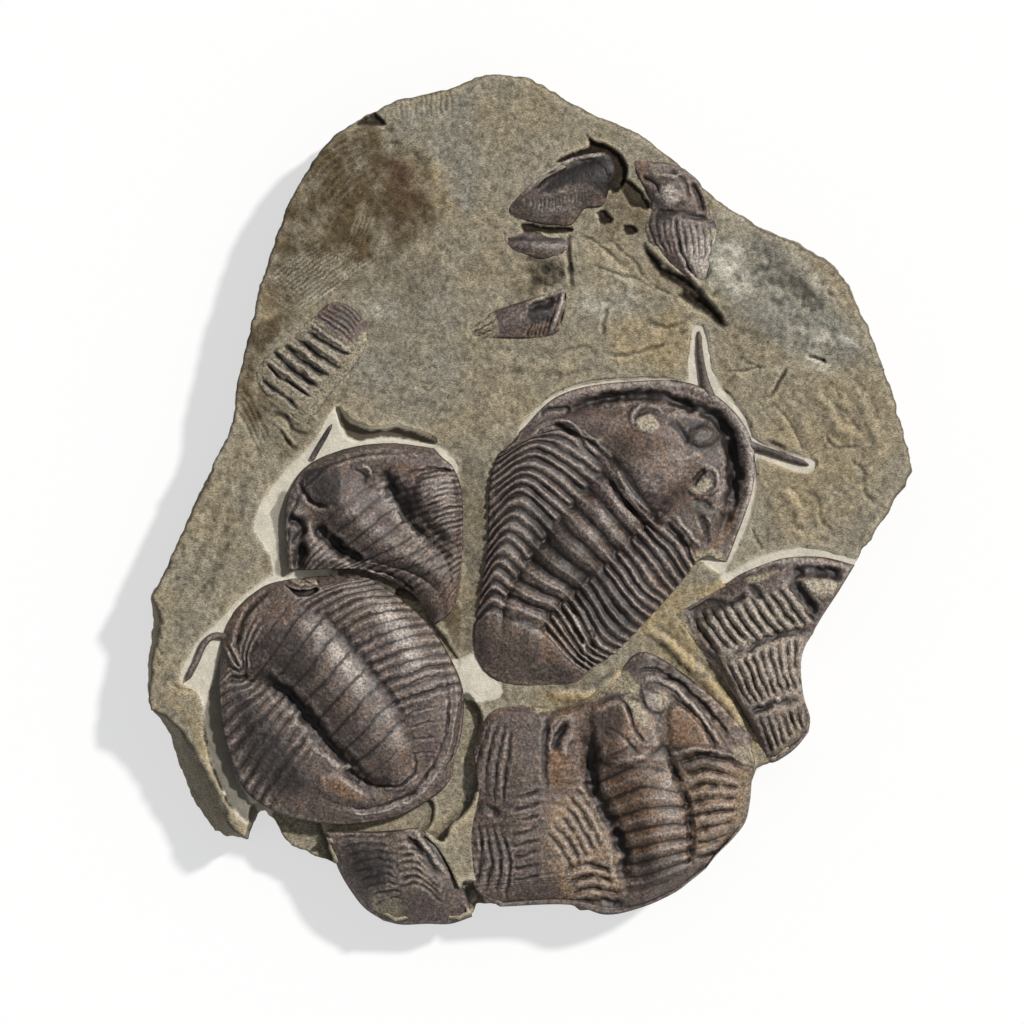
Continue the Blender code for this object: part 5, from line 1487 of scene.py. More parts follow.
FOSSILS = [
    Fossil("trilobite_lower_left", "lower_left_trilobite", LOWER_LEFT, (1.6, 7.0, 9), 0.5, 0.9, 0.35,
        (0.5, 0.8), furrow_shade_strength=(0.75, 0.35), rib_ends=(8.4, 6.4), marks=LOWER_LEFT_MARKS, tints=LOWER_LEFT_TINTS,
        spines=LOWER_LEFT_SPINES, foot=17.0, seed=100),
    Fossil("trilobite_upper_left", "upper_left_trilobite", UPPER_LEFT, (2.2, 6.8, 8), 0.5, 0.5, 0.6,
        (0.5, 0.8), furrow_shade_strength=(0.6, 0.3), marks=UPPER_LEFT_MARKS, tints=UPPER_LEFT_TINTS, spines=UPPER_LEFT_SPINES,
        seed=200),
    Fossil("trilobite_central", "central_trilobite", CENTRAL, (3.0, 9.4, 9), 2.6, 1.5, 2.4, (1.1, 1.4),
        bend=(0.0, 0.7), twin=0.12, offset=0.5, furrow_shade_strength=(0.55, 0.25), coarse=1.1, marks=CENTRAL_MARKS,
        tints=CENTRAL_TINTS, spines=CENTRAL_SPINES, seed=300),
    Fossil("trilobite_lower_right", "lower_right_trilobite", LOWER_RIGHT, (2.0, 7.2, 8), 1.4, 0.2, 0.8,
        (0.8, 1.0), furrow_shade_strength=(0.35, 0.0), marks=LOWER_RIGHT_MARKS, tints=LOWER_RIGHT_TINTS, seed=400),
    Fossil("trilobite_right_edge", "right_edge_trilobite", RIGHT_EDGE, (0.0, 7.0, 9), marks=RIGHT_EDGE_MARKS,
        tints=RIGHT_EDGE_TINTS, seed=500),
    Fossil("top_head_fragment", "top_head_fossil", TOP_HEAD, (2.0, 4.0, 1), marks=TOP_HEAD_MARKS,
        tints=TOP_HEAD_TINTS, flatten=(26.4, 0.6), low=0, pocket_inset=3, seed=600),
    Fossil("top_rim_fragment", "top_rim_fossil", TOP_RIM, (1.0, 2.0, 1), tints=TOP_RIM_TINTS,
        flatten=(26.4, 0.5), low=0, seed=610),
    Fossil("top_tail_fragment", "top_tail_fossil", TOP_TAIL, (0.5, 3.5, 5), marks=TOP_TAIL_MARKS,
        tints=TOP_TAIL_TINTS, flatten=(26.4, 0.5), low=0, seed=620),
    Fossil("top_fan_fragment", "top_fan_fossil", TOP_FAN, (2.5, 4.5, 2), marks=TOP_FAN_MARKS,
        tints=TOP_FAN_TINTS, flatten=(26.6, 0.5), low=0, pocket_inset=4, seed=630),
    Fossil("left_rib_fragment", "left_rib_fossil", LEFT_RIBS, (0.5, 5.5, 8), marks=RIB_MARKS, tints=RIB_TINTS,
        flatten=(26.4, 0.35), low=0, pocket_inset=4, seed=640),
    Fossil("bottom_fragment", "bottom_fossil", BOTTOM, (1.0, 4.0, 4), marks=BOTTOM_MARKS, tints=BOTTOM_TINTS,
        low=20.0, foot=17.0, seed=650),
]  # fmt: skip

# ---- Slab -----------------------------------------------------------------------------------------------

# In steps: how wide a channel's wall is, how far its rim lies outside its outline, and how much nearer the
# face comes to the silhouette than the silhouette's own insets say.
WALL = 1.7
RIM_REACH = 2.6
CRISPER = 4.0
# The broken sides: how many rings they have, and how far a ring lies inside the silhouette at these shares
# of the height. That is so many steps and such a share of the face's inset.
SIDE_LEVELS = 13
SIDE_SHARES = (0.0, 0.125, 0.375, 0.875, 1.0)
UNDER_INSETS = (6.0, 2.4, 0.0, 0.0, 0.0)
FACE_INSET_SHARES = (0.0, 0.0, 0.0, 0.62, 1.0)
# How uneven the sides are, in steps: their outline, their layers and their grit. In the layers' own units,
# all the sides are SIDE_SPAN high and a layer is BEDDING thick.
JAG, LAYER_JUT, GRIT_JUT = 1.3, 1.5, 0.8
SIDE_SPAN, BEDDING = 100.0, 12
# A layer's level wavers by a share of the sides' height in swells of a size in mm, and it juts out in swells
# of a length in steps.
LAYER_WAVER, LAYER_WAVER_SIZE = 0.04, 20
LAYER_LENGTH = 16
# In steps: the least that the face stops short of the silhouette, and how far in all of the sides lie.
LEAST_INSET = 0.5
SIDE_INSET = 1.0
# A channel's rim wavers by so many steps in swells of a size in mm, and has a point each so many steps.
RIM_WAVER, RIM_WAVER_SIZE = 0.6, 2.5
RIM_SPACING = 2.2
# Where down a channel's wall the rock turns pale, as shares of its width, and how much smoother it is there.
FRESH_DEPTHS = (0.6, 1.1)
FRESH_SMOOTHING = 0.7
# Spacing in steps of the points round a pocket, and how far a pocket stays inside the face.
POCKET_SPACING = 4.0
# Swells of the face before it is cut and its grain after, as (rise in mm, size in mm, octaves, seed).
FACE_SWELLS = ((0.65, 40, 2, 50), (0.5, 9, 3, 51))
CUT_GRAIN = ((0.2, 2.6, 3, 52), (0.12, 1.0, 1, 53))
# How far the face drops at its rim in mm, and over which depths inside the rim in steps.
RIM_DROP = 0.7
RIM_DEPTHS = (-1, 6)
# How strongly tints take between their patches, the least and the most, the patches' size in mm, and how
# unevenly each takes.
TINT_MEAN, TINT_RANGE, TINT_PATCHES = 0.85, (0.2, 1), 5
TINT_SPREADS = {"tan": 0.5, "grey": 0.2, "light": 0.3, "stain_and_shade": 0.5, "rust": 0.5}
# Painted shade in the face's hollows and paler paint on its rises: (how often the heights are averaged,
# depth in mm), and their strength.
FACE_HOLLOWS = ((2, 0.16), (14, 0.6))
FACE_HOLLOW_SHARE = 0.5
# How much of the sides' colour shows along the face's rim.
RIM_SIDE = 0.2
# Clearances: between the drawn edges and the face's rim or a pocket, in steps, and between free points and
# the drawn ones, as a share of the spacing. Free points are moved at random by a share of the spacing.
LINE_CLEARANCE = 2.0
CLEARANCE_REACH = 4
POINT_CLEARANCE = 0.62
EDGE_CLEARANCE = 0.6
JITTER = 0.16
# Distance between the rows of a triangular lattice, as a share of that between its points, and the spacing
# along the sides as a multiple of the face's.
LATTICE_ROWS = 0.866
SIDE_COARSE = 1.25
# How far each ring of the sides, and each pocket's floor, is pushed out on the bake map, in steps.
SIDE_SPREAD = 2.2
POCKET_SPREAD = 3


def slab_sides(spacing):
    """Dense plan rings round the slab from its face to its underside, anticlockwise seen from above."""
    plan = np.array(SILHOUETTE[::-1], float)
    run = np.roll(plan[:, :2], -1, axis=0) - plan[:, :2]
    out = np.stack([run[:, 1], -run[:, 0]], axis=1) * np.sign(signed_area(plan[:, :2]))
    out /= np.linalg.norm(out, axis=1, keepdims=True)
    out += np.roll(out, 1, axis=0)
    out /= np.linalg.norm(out, axis=1, keepdims=True)
    dense = evenly(np.concatenate([plan, out], axis=1), spacing, closed=True)
    outline, out = dense[:, :2], dense[:, 3:]
    inset = np.maximum(dense[:, 2] - CRISPER, LEAST_INSET)
    rings = []
    for share in np.linspace(1, 0, SIDE_LEVELS):
        inward = np.interp(share, SIDE_SHARES, UNDER_INSETS)
        inward = inward + inset * np.interp(share, SIDE_SHARES, FACE_INSET_SHARES)
        layer = SIDE_SPAN * (share + LAYER_WAVER * rough(outline, LAYER_WAVER_SIZE, 1, 71))
        # Each layer has noise of its own, since its number sets it well apart from the others.
        place = outline.sum(axis=1) / LAYER_LENGTH + layer
        bedding = LAYER_JUT * noise(place, np.floor(layer / BEDDING) * 3.7, 72)
        bedding += GRIT_JUT * rough(outline + layer[:, None], 2.5, 2, 73)
        jag = JAG * rough(outline, 5, 3, 70) + bedding * math.sin(math.pi * share) ** 0.5
        rings.append(outline - out * (inward + jag + SIDE_INSET)[:, None])
    return rings, out


def pull_inside(points, loop, margin):
    """Moves any point that is nearer than margin to an outline's edge, or outside it, to that far inside."""
    depth = depth_inside(points, loop, 60)
    out = outward(loop)
    moved = points.copy()
    for k in np.flatnonzero(depth < margin):
        nearest = np.argmin(np.hypot(*(loop - points[k]).T))
        moved[k] = loop[nearest] - out[nearest] * margin
    return moved


def pocket_loops(face_loop):
    """The rim of each fossil's pocket, a little inside the fossil's border."""
    loops = []
    for fossil in FOSSILS:
        grid, _, _ = laid_net(fossil, 2.0)
        ring = evenly(border_ring(grid, fossil.pocket_inset), POCKET_SPACING, closed=True)
        loops.append(evenly(pull_inside(ring, face_loop, POCKET_SPACING), POCKET_SPACING, closed=True))
    return loops


def channel_rims():
    """Each channel's rim as worked by hand, a little uneven."""
    rims = []
    for number, (_, _, outline) in enumerate(CHANNELS):
        rim = loop_curve(outline, RIM_SPACING)
        reach = RIM_REACH + RIM_WAVER * rough(rim, RIM_WAVER_SIZE, 2, 80 + number)
        rims.append(rim + outward(rim) * reach[:, None])
    return rims


def face_height(plan, face_loop, rims):
    """Height of the slab's face at plan points, and the masks of its colours."""
    height = FACE_HEIGHT + grain(plan, FACE_SWELLS)
    apply_marks(plan, height, FACE_MARKS)
    height -= RIM_DROP * (1 - eased(depth_inside(plan, face_loop, RIM_DEPTHS[1] + 1), *RIM_DEPTHS)) ** 2
    fresh = np.zeros(len(plan))
    cut = height.copy()
    for (floor, pale, _), rim in zip(CHANNELS, rims):
        depth = depth_inside(plan, rim, WALL * 2)
        cut = np.minimum(cut, height + (floor - height) * eased(depth, 0, WALL))
        if pale:
            fresh = np.maximum(fresh, eased(depth, *(share * WALL for share in FRESH_DEPTHS)))
    cut += grain(plan, CUT_GRAIN) * (1 - FRESH_SMOOTHING * fresh)
    masks = {tint: masked(plan, marks) for tint, marks in FACE_TINTS.items()}
    for number, (tint, spread) in enumerate(TINT_SPREADS.items()):
        uneven = TINT_MEAN + spread * rough(plan, TINT_PATCHES, 4, 60 + number)
        masks[tint] *= np.clip(uneven, *TINT_RANGE)
    masks["fresh"] = fresh
    return cut, masks


def kept_runs(loop, allowed):
    """Neighbouring pairs along a closed loop whose two points are both allowed."""
    following = np.roll(np.arange(len(loop)), -1)
    first = np.flatnonzero(allowed & allowed[following])
    return np.stack([first, following[first]], axis=1)


def triangulated(face_loop, pockets, rims, spacing):
    """Points and triangles of the slab's face, with edges along its pockets and along the channels' rims and
    feet. The face's own loop and the pockets' come first among the points."""
    fixed = [face_loop, *pockets]
    edges, start = [], 0
    for loop in fixed:
        index = np.arange(start, start + len(loop))
        edges.append(np.stack([index, np.roll(index, -1)], axis=1))
        start += len(loop)
    for number, rim in enumerate(rims):
        for line, into in ((rim, 0.0), (rim - outward(rim) * WALL, WALL)):
            allowed = depth_inside(line, face_loop, CLEARANCE_REACH) > LINE_CLEARANCE
            for pocket in pockets:
                allowed &= depth_inside(line, pocket, CLEARANCE_REACH) < -LINE_CLEARANCE
            # A channel's line gives way inside a deeper one, and its foot does where the channel is narrow.
            for other, (floor, _, _) in enumerate(CHANNELS):
                if other != number and floor <= CHANNELS[number][0]:
                    allowed &= depth_inside(line, rims[other], CLEARANCE_REACH) < into + 0.5
            if into:
                allowed &= depth_inside(line, rim, CLEARANCE_REACH) > into * 0.8
            edges.append(kept_runs(line, allowed) + start)
            fixed.append(line)
            start += len(line)
    fixed = np.concatenate(fixed)
    edges = np.concatenate(edges)
    used = np.zeros(len(fixed), bool)
    used[edges.ravel()] = True
    loops_end = len(face_loop) + sum(map(len, pockets))
    renumbered = np.cumsum(used) - 1
    fixed, edges = fixed[used], renumbered[edges]
    low, high = face_loop.min(axis=0), face_loop.max(axis=0)
    # The free points are a triangular lattice, each moved a little at random.
    row_spacing = spacing * LATTICE_ROWS
    across, down = np.meshgrid(np.arange(low[0], high[0], spacing), np.arange(low[1], high[1], row_spacing))
    across[1::2] += spacing / 2
    free = np.stack([across.ravel(), down.ravel()], axis=1)
    cells = np.rint(free * 8).astype(np.int64).T
    free += np.stack([lattice(*cells, seed) for seed in (1, 2)], axis=1) * JITTER * spacing
    free = free[depth_inside(free, face_loop, 3) > EDGE_CLEARANCE * spacing]
    for pocket in pockets:
        free = free[depth_inside(free, pocket, 3) < -EDGE_CLEARANCE * spacing]
    tree = KDTree(len(fixed))
    for number, point in enumerate(fixed):
        tree.insert((*point, 0), number)
    tree.balance()
    clear = [tree.find((*point, 0))[2] > POINT_CLEARANCE * spacing for point in free]
    points = np.concatenate([fixed, free[clear]])
    flipped = [Vector((x, -y)) for x, y in points]
    made, _, triangles, origins, _, _ = delaunay_2d_cdt(flipped, edges.tolist(), [], 0, 1e-5)
    made = np.array([tuple(point) for point in made]) * (1, -1)
    triangles = np.array([tuple(face) for face in triangles])
    middles = made[triangles].mean(axis=1)
    kept = is_inside(middles, face_loop)
    for pocket in pockets:
        kept &= ~is_inside(middles, pocket)
    triangles = triangles[kept]
    place = np.full(len(points), -1)
    for new, olds in enumerate(origins):
        for old in olds:
            place[old] = new
    return made, triangles, place[:loops_end]


def spread_over(values, pairs, times):
    """Values at mesh points, averaged with those of their neighbours a number of times."""
    count = len(values)
    touching = np.bincount(pairs.ravel(), minlength=count) + 1
    for _ in range(times):
        total = values + np.bincount(pairs[:, 0], values[pairs[:, 1]], count)
        values = (total + np.bincount(pairs[:, 1], values[pairs[:, 0]], count)) / touching
    return values


def make_slab(spacing, finish):
    """Makes the slab: its face, its broken sides down to the underside, and the pockets under the fossils."""
    rings, out = slab_sides(spacing * SIDE_COARSE)
    face_loop = rings[0]
    pockets = [loop if signed_area(loop * (1, -1)) > 0 else loop[::-1] for loop in pocket_loops(face_loop)]
    rims = channel_rims()
    plan, triangles, place = triangulated(face_loop, pockets, rims, spacing)
    height, masks = face_height(plan, face_loop, rims)
    pairs = np.concatenate([triangles[:, [0, 1]], triangles[:, [1, 2]], triangles[:, [2, 0]]])
    # Painted shade in the face's hollows and paler paint on its rises, kept off the fresh-cut channels.
    relief_shading = sum(
        np.clip((spread_over(height, pairs, times) - height) / depth, -1, 1) for times, depth in FACE_HOLLOWS
    )
    masks["relief_shading"] = FACE_HOLLOW_SHARE * relief_shading * (1 - masks["fresh"])
    faces = triangles.tolist()
    above = rim_index = place[: len(face_loop)]
    rim_height = height[rim_index]
    plans, heights, spreads = [plan], [height], [np.zeros_like(plan)]
    total = len(plan)
    for level, ring in enumerate(rings[1:], 1):
        share = 1 - level / (SIDE_LEVELS - 1)
        below = np.arange(total, total + len(ring))
        faces += walls_between(above, below).tolist()
        plans.append(ring)
        heights.append(rim_height * share)
        spreads.append(face_loop - ring + out * (level * SIDE_SPREAD))
        total += len(ring)
        above = below
    under = [above[::-1].tolist()]
    start = len(face_loop)
    for loop in pockets:
        upper = place[start : start + len(loop)]
        start += len(loop)
        lower = np.arange(total, total + len(loop))
        faces += walls_between(upper[::-1], lower[::-1]).tolist()
        under.append(lower.tolist())
        plans.append(loop)
        heights.append(np.full(len(loop), POCKET_FLOOR))
        spreads.append(-outward(loop) * POCKET_SPREAD)
        total += len(loop)
    flat = np.concatenate(plans)
    height = np.concatenate(heights)
    extra = total - len(plan)
    masks = {name: np.concatenate([values, np.zeros(extra)]) for name, values in masks.items()}
    masks["side"] = np.concatenate([np.zeros(len(plan)), np.ones(extra)])
    masks["side"][rim_index] = RIM_SIDE
    points = np.concatenate([metres(flat), height[:, None] * MM], axis=1)
    top_places, under_places = bake_places(flat, np.concatenate(spreads))
    return add_piece(
        "shale_matrix", points, faces, top_places, under, under_places, masks, finish, "matrix_slab"
    )


# ---- Finishes -------------------------------------------------------------------------------------------


def linear(colour):
    """A linear colour from an sRGB hex value."""
    channels = [int(colour[k : k + 2], 16) / 255 for k in (1, 3, 5)]
    return tuple(c / 12.92 if c <= 0.04045 else ((c + 0.055) / 1.055) ** 2.4 for c in channels)


def node(tree, kind, inputs=(), **settings):
    """Adds a node with its settings, and gives each input, by name or number, a value or another's output."""
    made = tree.nodes.new(kind)
    for name, value in settings.items():
        setattr(made, name, value)
    for where, value in dict(inputs).items():
        if isinstance(value, bpy.types.NodeSocket):
            tree.links.new(value, made.inputs[where])
        else:
            made.inputs[where].default_value = value
    return made


def new_material(name):
    """A material with an empty node tree, and the tree."""
    material = bpy.data.materials.new(name)
    material.use_nodes = True
    material.node_tree.nodes.clear()
    return material, material.node_tree


def per_metre(size_mm):
    """Noise scale whose swells are a given size in millimetres."""
    return 1 / (size_mm * MM)


def shale_material(settings):
    """Shale, split along its bedding: a matt, gritty khaki stone whose grains each catch the light or hide
    from it. Where it was cut fresh it is pale cream, and it is browner where iron has soaked into it. Painted
    shade darkens its hollows and the rock that ledges, channel walls and fossils shadow, and its rises and
    some swells are painted lighter."""
    material, tree = new_material("Split shale")
    where = node(tree, "ShaderNodeTexCoord").outputs["Object"]
    # The grit lies along the bedding's trend, so its pattern is turned and drawn out a little.
    laid = node(tree, "ShaderNodeMapping", {"Vector": where, "Rotation": (0, 0, math.radians(52)),
                                            "Scale": (1.0, 1.7, 1.0)}).outputs[0]
    patches = node(tree, "ShaderNodeTexNoise",
                   {"Vector": where, "Scale": per_metre(24), "Detail": 4.0}).outputs["Fac"]
    blotches = node(tree, "ShaderNodeTexNoise",
                    {"Vector": where, "Scale": per_metre(6), "Detail": 4.0, "Roughness": 0.65}).outputs["Fac"]
    grit = node(tree, "ShaderNodeTexNoise",
                {"Vector": laid, "Scale": per_metre(0.85), "Detail": 4.0, "Roughness": 0.75}).outputs["Fac"]
    shares = {"warm": node(tree, "ShaderNodeMapRange", {0: patches, 1: 0.42, 2: 0.6}).outputs[0]}
    # Painted light among the layers: the dark-rock layer paints hollows, clefts and the feet of ledges dark;
    # the layer of cut rock beside the fossils paints the shadows that they and the channel walls cast; the
    # rubbed layer is partly painted highlight, and the stain partly painted shade.
    layers = ("warm", "tan", "grey", "light", "stain_and_shade", "rust", "side", "shade", "fresh", "gloom")
    for mask in (*layers[1:], "relief_shading"):
        shares[mask] = node(tree, "ShaderNodeAttribute", attribute_name=mask).outputs["Fac"]
    colour = (*settings.rock_colour, 1)
    for mask in layers:
        layer = (*getattr(settings, f"rock_{mask}_colour"), 1)
        mixed = node(tree, "ShaderNodeMix", {0: shares[mask], 6: colour, 7: layer}, data_type="RGBA")
        colour = mixed.outputs[2]
    # Grit shows least where the rock is freshly cut.
    low = node(tree, "ShaderNodeMapRange", {0: shares["fresh"], 3: 0.44, 4: 0.86}).outputs[0]
    high = node(tree, "ShaderNodeMapRange", {0: shares["fresh"], 3: 1.44, 4: 1.12}).outputs[0]
    # Grit and blotches vary the rock's own tone; the last factor is painted shade, darker in the face's
    # hollows and lighter on its rises.
    for shade in (
        node(tree, "ShaderNodeMapRange", {0: grit, 1: 0.36, 2: 0.64, 3: low, 4: high}),
        node(tree, "ShaderNodeMapRange", {0: blotches, 1: 0.3, 2: 0.7, 3: 0.84, 4: 1.15}),
        node(tree, "ShaderNodeMapRange", {0: shares["relief_shading"], 1: -0.7, 2: 0.8, 3: 1.22, 4: 0.4}),
    ):
        scaled = node(tree, "ShaderNodeVectorMath", {0: colour, "Scale": shade.outputs[0]}, operation="SCALE")
        colour = scaled.outputs[0]
    relief = node(tree, "ShaderNodeBump", {"Strength": 0.9, "Distance": 0.4 * MM, "Height": grit})
    shader = node(tree, "ShaderNodeBsdfPrincipled",
                  {"Base Color": colour, "Roughness": 0.92, "IOR": 1.5, "Specular IOR Level": 0.2,
                   "Normal": relief.outputs[0]})
    node(tree, "ShaderNodeOutputMaterial", {"Surface": shader.outputs[0]})
    return material


def shell_material(settings):
    """Fossil shell, calcite dark with iron and manganese: a hard purplish brown skin with a low waxy gloss
    and fine pale flecks. Painted shade makes it near black down in its furrows, and its crests are paler,
    partly rubbed and partly a painted highlight."""
    material, tree = new_material("Calcite shell")
    where = node(tree, "ShaderNodeTexCoord").outputs["Object"]
    clouds = node(tree, "ShaderNodeTexNoise",
                  {"Vector": where, "Scale": per_metre(13), "Detail": 4.0}).outputs["Fac"]
    flecks = node(tree, "ShaderNodeTexNoise",
                  {"Vector": where, "Scale": per_metre(1.0), "Detail": 3.0, "Roughness": 0.75}).outputs["Fac"]
    streaks = node(tree, "ShaderNodeTexNoise",
                   {"Vector": where, "Scale": per_metre(4), "Detail": 3.0, "Distortion": 0.6}).outputs["Fac"]
    shares = {
        "purple": node(tree, "ShaderNodeMapRange", {0: clouds, 1: 0.42, 2: 0.6}).outputs[0],
        "warm": node(tree, "ShaderNodeMapRange", {0: streaks, 1: 0.5, 2: 0.7, 4: 0.28}).outputs[0],
    }
    for mask in ("iron", "rock", "pale", "shade", "relief_shading", "side"):
        shares[mask] = node(tree, "ShaderNodeAttribute", attribute_name=mask).outputs["Fac"]
    # Painted shade and highlight from the relief: the furrows share darkens furrows and hollows, and the
    # crests share paints crests paler, partly as rubbed shell and partly as painted highlight.
    relief_shading = shares["relief_shading"]
    shares["furrows"] = node(tree, "ShaderNodeMapRange", {0: relief_shading, 1: 0.05, 2: 0.7, 4: 0.9}).outputs[0]
    shares["crests"] = node(tree, "ShaderNodeMapRange", {0: relief_shading, 1: -0.15, 2: -0.8, 4: 0.5}).outputs[0]
    colour = (*settings.shell_colour, 1)
    # Pale tints are partly rubbed shell and partly painted highlight; shade tints are painted shade, and on
    # the spines their own dark colour.
    for mask, layer in (
        ("purple", settings.shell_purple_colour),
        ("warm", settings.shell_iron_colour),
        ("iron", settings.shell_iron_colour),
        ("rock", settings.rock_tan_colour),
        ("crests", settings.shell_rubbed_and_highlight_colour),
        ("pale", settings.shell_rubbed_and_highlight_colour),
        ("shade", settings.shell_dark_and_shade_colour),
        ("furrows", settings.shell_dark_and_shade_colour),
        ("side", settings.rock_side_colour),
    ):
        mixed = node(tree, "ShaderNodeMix", {0: shares[mask], 6: colour, 7: (*layer, 1)}, data_type="RGBA")
        colour = mixed.outputs[2]
    fleck = node(tree, "ShaderNodeMapRange", {0: flecks, 1: 0.37, 2: 0.65, 3: 0.3, 4: 1.6}).outputs[0]
    smear = node(tree, "ShaderNodeMapRange", {0: streaks, 1: 0.3, 2: 0.7, 3: 0.72, 4: 1.24}).outputs[0]
    for shade in (fleck, smear):
        colour = node(tree, "ShaderNodeVectorMath", {0: colour, "Scale": shade}, operation="SCALE").outputs[0]
    relief = node(tree, "ShaderNodeBump", {"Strength": 0.9, "Distance": 0.35 * MM, "Height": flecks})
    gloss = node(tree, "ShaderNodeMapRange", {0: streaks, 1: 0.3, 2: 0.7, 3: 0.44, 4: 0.68}).outputs[0]
    shader = node(tree, "ShaderNodeBsdfPrincipled",
                  {"Base Color": colour, "Roughness": gloss, "IOR": 1.6, "Specular IOR Level": 0.5,
                   "Normal": relief.outputs[0]})
    node(tree, "ShaderNodeOutputMaterial", {"Surface": shader.outputs[0]})
    return material


# ---- Stage ----------------------------------------------------------------------------------------------

# Lengths in metres, and the camera's sensor in mm.
FLOOR_HALF = 6.0
FLOOR_DROP = 0.0002
CAMERA_CLIP = (0.1, 20)
SENSOR = 36.0
KEY_COLOUR = (1.0, 0.985, 0.96)
SKY_COLOUR = (0.93, 0.96, 1.0, 1)


def make_stage(settings):
    """A pale floor, a key light from the upper right, a soft sky and a camera straight above the slab."""
    scene = bpy.context.scene
    material, tree = new_material("Pale studio floor")
    shader = node(tree, "ShaderNodeBsdfPrincipled",
                  {"Base Color": (*settings.floor_colour, 1), "Roughness": 0.9, "Specular IOR Level": 0.1,
                   "Emission Color": (1, 1, 1, 1), "Emission Strength": settings.floor_glow})
    node(tree, "ShaderNodeOutputMaterial", {"Surface": shader.outputs[0]})
    mesh = bpy.data.meshes.new("floor")
    corners = [(x * FLOOR_HALF, y * FLOOR_HALF, 0) for x, y in ((-1, -1), (1, -1), (1, 1), (-1, 1))]
    mesh.from_pydata(corners, [], [range(4)])
    mesh.materials.append(material)
    floor = bpy.data.objects.new("floor", mesh)
    floor.location.z = -FLOOR_DROP
    scene.collection.objects.link(floor)

    lamp = bpy.data.lights.new("key", "SUN")
    lamp.energy = settings.key_strength
    lamp.angle = settings.key_width
    lamp.color = KEY_COLOUR
    key = bpy.data.objects.new("key", lamp)
    key.rotation_euler = (0, math.pi / 2 - settings.key_elevation, settings.key_azimuth)
    scene.collection.objects.link(key)

    world = bpy.data.worlds.new("soft sky")
    world.use_nodes = True
    background = world.node_tree.nodes["Background"]
    background.inputs["Color"].default_value = SKY_COLOUR
    background.inputs["Strength"].default_value = settings.sky_strength
    scene.world = world
    scene.view_settings.view_transform = "Standard"

    height = settings.camera_height
    view = bpy.data.cameras.new("camera")
    view.sensor_width = SENSOR
    view.lens = SENSOR * (height - FACE_HEIGHT * MM) / (FRAME_STEPS * STEP)
    view.clip_start, view.clip_end = CAMERA_CLIP
    camera = bpy.data.objects.new("camera", view)
    camera.location = (*metres((FRAME_STEPS / 2, FRAME_STEPS / 2)), height)
    scene.collection.objects.link(camera)
    scene.camera = camera


# ---- Add-on ---------------------------------------------------------------------------------------------


def colour_property(name, description, colour):
    """A colour setting, with its default as an sRGB hex value."""
    return bpy.props.FloatVectorProperty(
        name=name, description=description, subtype="COLOR", size=3, min=0, max=1, default=linear(colour)
    )


def number_property(name, description, default, **kind):
    """A number setting: a plain one, or a length or an angle where kind says so."""
    return bpy.props.FloatProperty(name=name, description=description, default=default, **kind)


class SlabSettings(bpy.types.PropertyGroup):
    face_spacing: number_property(
        "Face spacing", "Distance between the points of the slab's face", 0.76 * MM, unit="LENGTH"
    )
    rock_colour: colour_property("Rock", "Colour of the rock's face", "#9c9380")
    rock_warm_colour: colour_property("Warm rock", "Colour of the face's warmer parts", "#9d9179")
    rock_tan_colour: colour_property("Tan rock", "Colour of the tan patches", "#ad9a76")
    rock_grey_colour: colour_property("Grey rock", "Colour of the bluish grey layer", "#8f8c82")
    # Partly rubbed places and scratches, and partly painted highlight on swells and ledges that face the
    # light.
    rock_light_colour: colour_property("Rubbed rock", "Colour of the pale rubbed places", "#bdb8a8")
    # Iron stain, and also painted shade on the lower left wall and under a fold of shell.
    rock_stain_and_shade_colour: colour_property("Stain", "Colour where iron stains the rock", "#63553f")
    rock_rust_colour: colour_property("Rust", "Colour of the reddish part of the stain", "#54392d")
    # Painted shadow: the colour put where the fossils and the channel walls shadow the cut rock beside them.
    rock_gloom_colour: colour_property("Gloom", "Colour of the cut rock down beside the fossils", "#5d554b")
    rock_side_colour: colour_property("Sides", "Colour of the broken sides", "#8c8270")
    rock_fresh_colour: colour_property("Fresh cut", "Colour of the channels' fresh rock", "#e2dac8")
    # Painted shade: the colour put in the face's hollows and clefts and where ledges and channel walls cast
    # shadow.
    rock_shade_colour: colour_property("Dark rock", "Colour of the dark hollows", "#3a3126")


class FossilSettings(bpy.types.PropertyGroup):
    shell_spacing: number_property(
        "Shell spacing", "Distance between the points of a fossil", 0.4 * MM, unit="LENGTH"
    )
    shell_colour: colour_property("Shell", "Main colour of the shell", "#5e5046")
    shell_purple_colour: colour_property("Purple shell", "Colour of the shell's purplish parts", "#584945")
    # Partly rubbed shell and partly painted highlight and sheen on crests that face the light.
    shell_rubbed_and_highlight_colour: colour_property("Rubbed shell", "Colour of the rubbed crests", "#ab9f95")
    # Painted shade down in the furrows and hollows, and the spines' own dark colour.
    shell_dark_and_shade_colour: colour_property("Furrows", "Colour down in the furrows", "#1d1512")
    shell_iron_colour: colour_property("Iron", "Colour of the orange-brown patches", "#75573d")
    rock_tan_colour: colour_property("Rock", "Colour of rock left on the shell", "#9b8f75")
    rock_side_colour: colour_property("Broken sides", "Colour of the rock under the shell", "#8c8270")


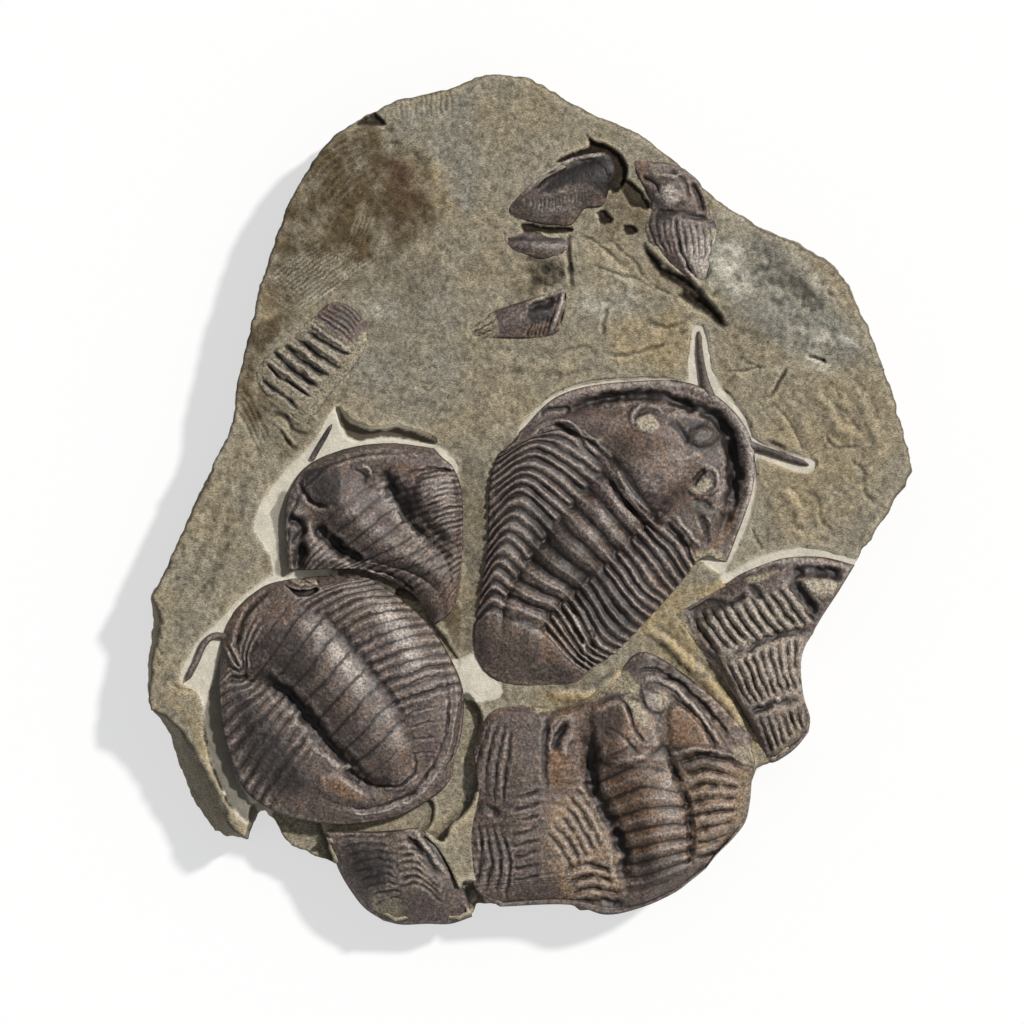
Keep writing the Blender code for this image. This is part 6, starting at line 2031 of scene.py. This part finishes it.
class StageSettings(bpy.types.PropertyGroup):
    floor_colour: colour_property("Floor", "Colour of the floor", "#a4a4a4")
    floor_glow: number_property("Floor glow", "Light that the floor gives out", 0.6)
    key_strength: number_property("Key", "Strength of the key light", 3.7)
    sky_strength: number_property("Sky", "Strength of the soft sky", 0.3)
    key_width: number_property(
        "Key width", "How wide the key light looks", math.radians(5), subtype="ANGLE"
    )
    key_elevation: number_property(
        "Key height", "Height of the key light above the floor", math.radians(42), subtype="ANGLE"
    )
    key_azimuth: number_property(
        "Key direction", "Turn of the key light from the right-hand side", math.radians(35), subtype="ANGLE"
    )
    camera_height: number_property(
        "Camera height", "Height of the camera above the floor", 2.4, unit="LENGTH"
    )


class TRILOBITE_OT_make_slab(bpy.types.Operator):
    """Make the slab of shale"""

    bl_idname = "trilobite.make_slab"
    bl_label = "Make slab"

    def execute(self, context):
        settings = context.scene.trilobite_slab
        make_slab(settings.face_spacing / STEP, shale_material(settings))
        return {"FINISHED"}


class TRILOBITE_OT_make_fossils(bpy.types.Operator):
    """Make the trilobites and the fragments of others"""

    bl_idname = "trilobite.make_fossils"
    bl_label = "Make fossils"

    def execute(self, context):
        settings = context.scene.trilobite_fossils
        finish = shell_material(settings)
        for fossil in FOSSILS:
            make_fossil(fossil, fossil.coarse * settings.shell_spacing / STEP, finish)
        return {"FINISHED"}


class TRILOBITE_OT_make_stage(bpy.types.Operator):
    """Make the floor, the lights and the camera"""

    bl_idname = "trilobite.make_stage"
    bl_label = "Make stage"

    def execute(self, context):
        make_stage(context.scene.trilobite_stage)
        return {"FINISHED"}


class TRILOBITE_PT_slab(bpy.types.Panel):
    bl_label = "Trilobite slab"
    bl_idname = "TRILOBITE_PT_slab"
    bl_space_type = "VIEW_3D"
    bl_region_type = "UI"
    bl_category = "Trilobite slab"

    def draw(self, context):
        for operator in OPERATORS:
            self.layout.operator(operator.bl_idname)
        for group in SETTINGS:
            settings = getattr(context.scene, group)
            for name in SETTINGS[group].__annotations__:
                self.layout.prop(settings, name)


OPERATORS = (TRILOBITE_OT_make_stage, TRILOBITE_OT_make_slab, TRILOBITE_OT_make_fossils)
SETTINGS = {
    "trilobite_slab": SlabSettings,
    "trilobite_fossils": FossilSettings,
    "trilobite_stage": StageSettings,
}


def register():
    for made in (*SETTINGS.values(), *OPERATORS, TRILOBITE_PT_slab):
        bpy.utils.register_class(made)
    for name, group in SETTINGS.items():
        setattr(bpy.types.Scene, name, bpy.props.PointerProperty(type=group))


def unregister():
    for name in SETTINGS:
        delattr(bpy.types.Scene, name)
    for made in (TRILOBITE_PT_slab, *OPERATORS, *SETTINGS.values()):
        bpy.utils.unregister_class(made)


def main():
    register()
    bpy.ops.trilobite.make_stage()
    bpy.ops.trilobite.make_slab()
    bpy.ops.trilobite.make_fossils()


if __name__ == "__main__":
    main()
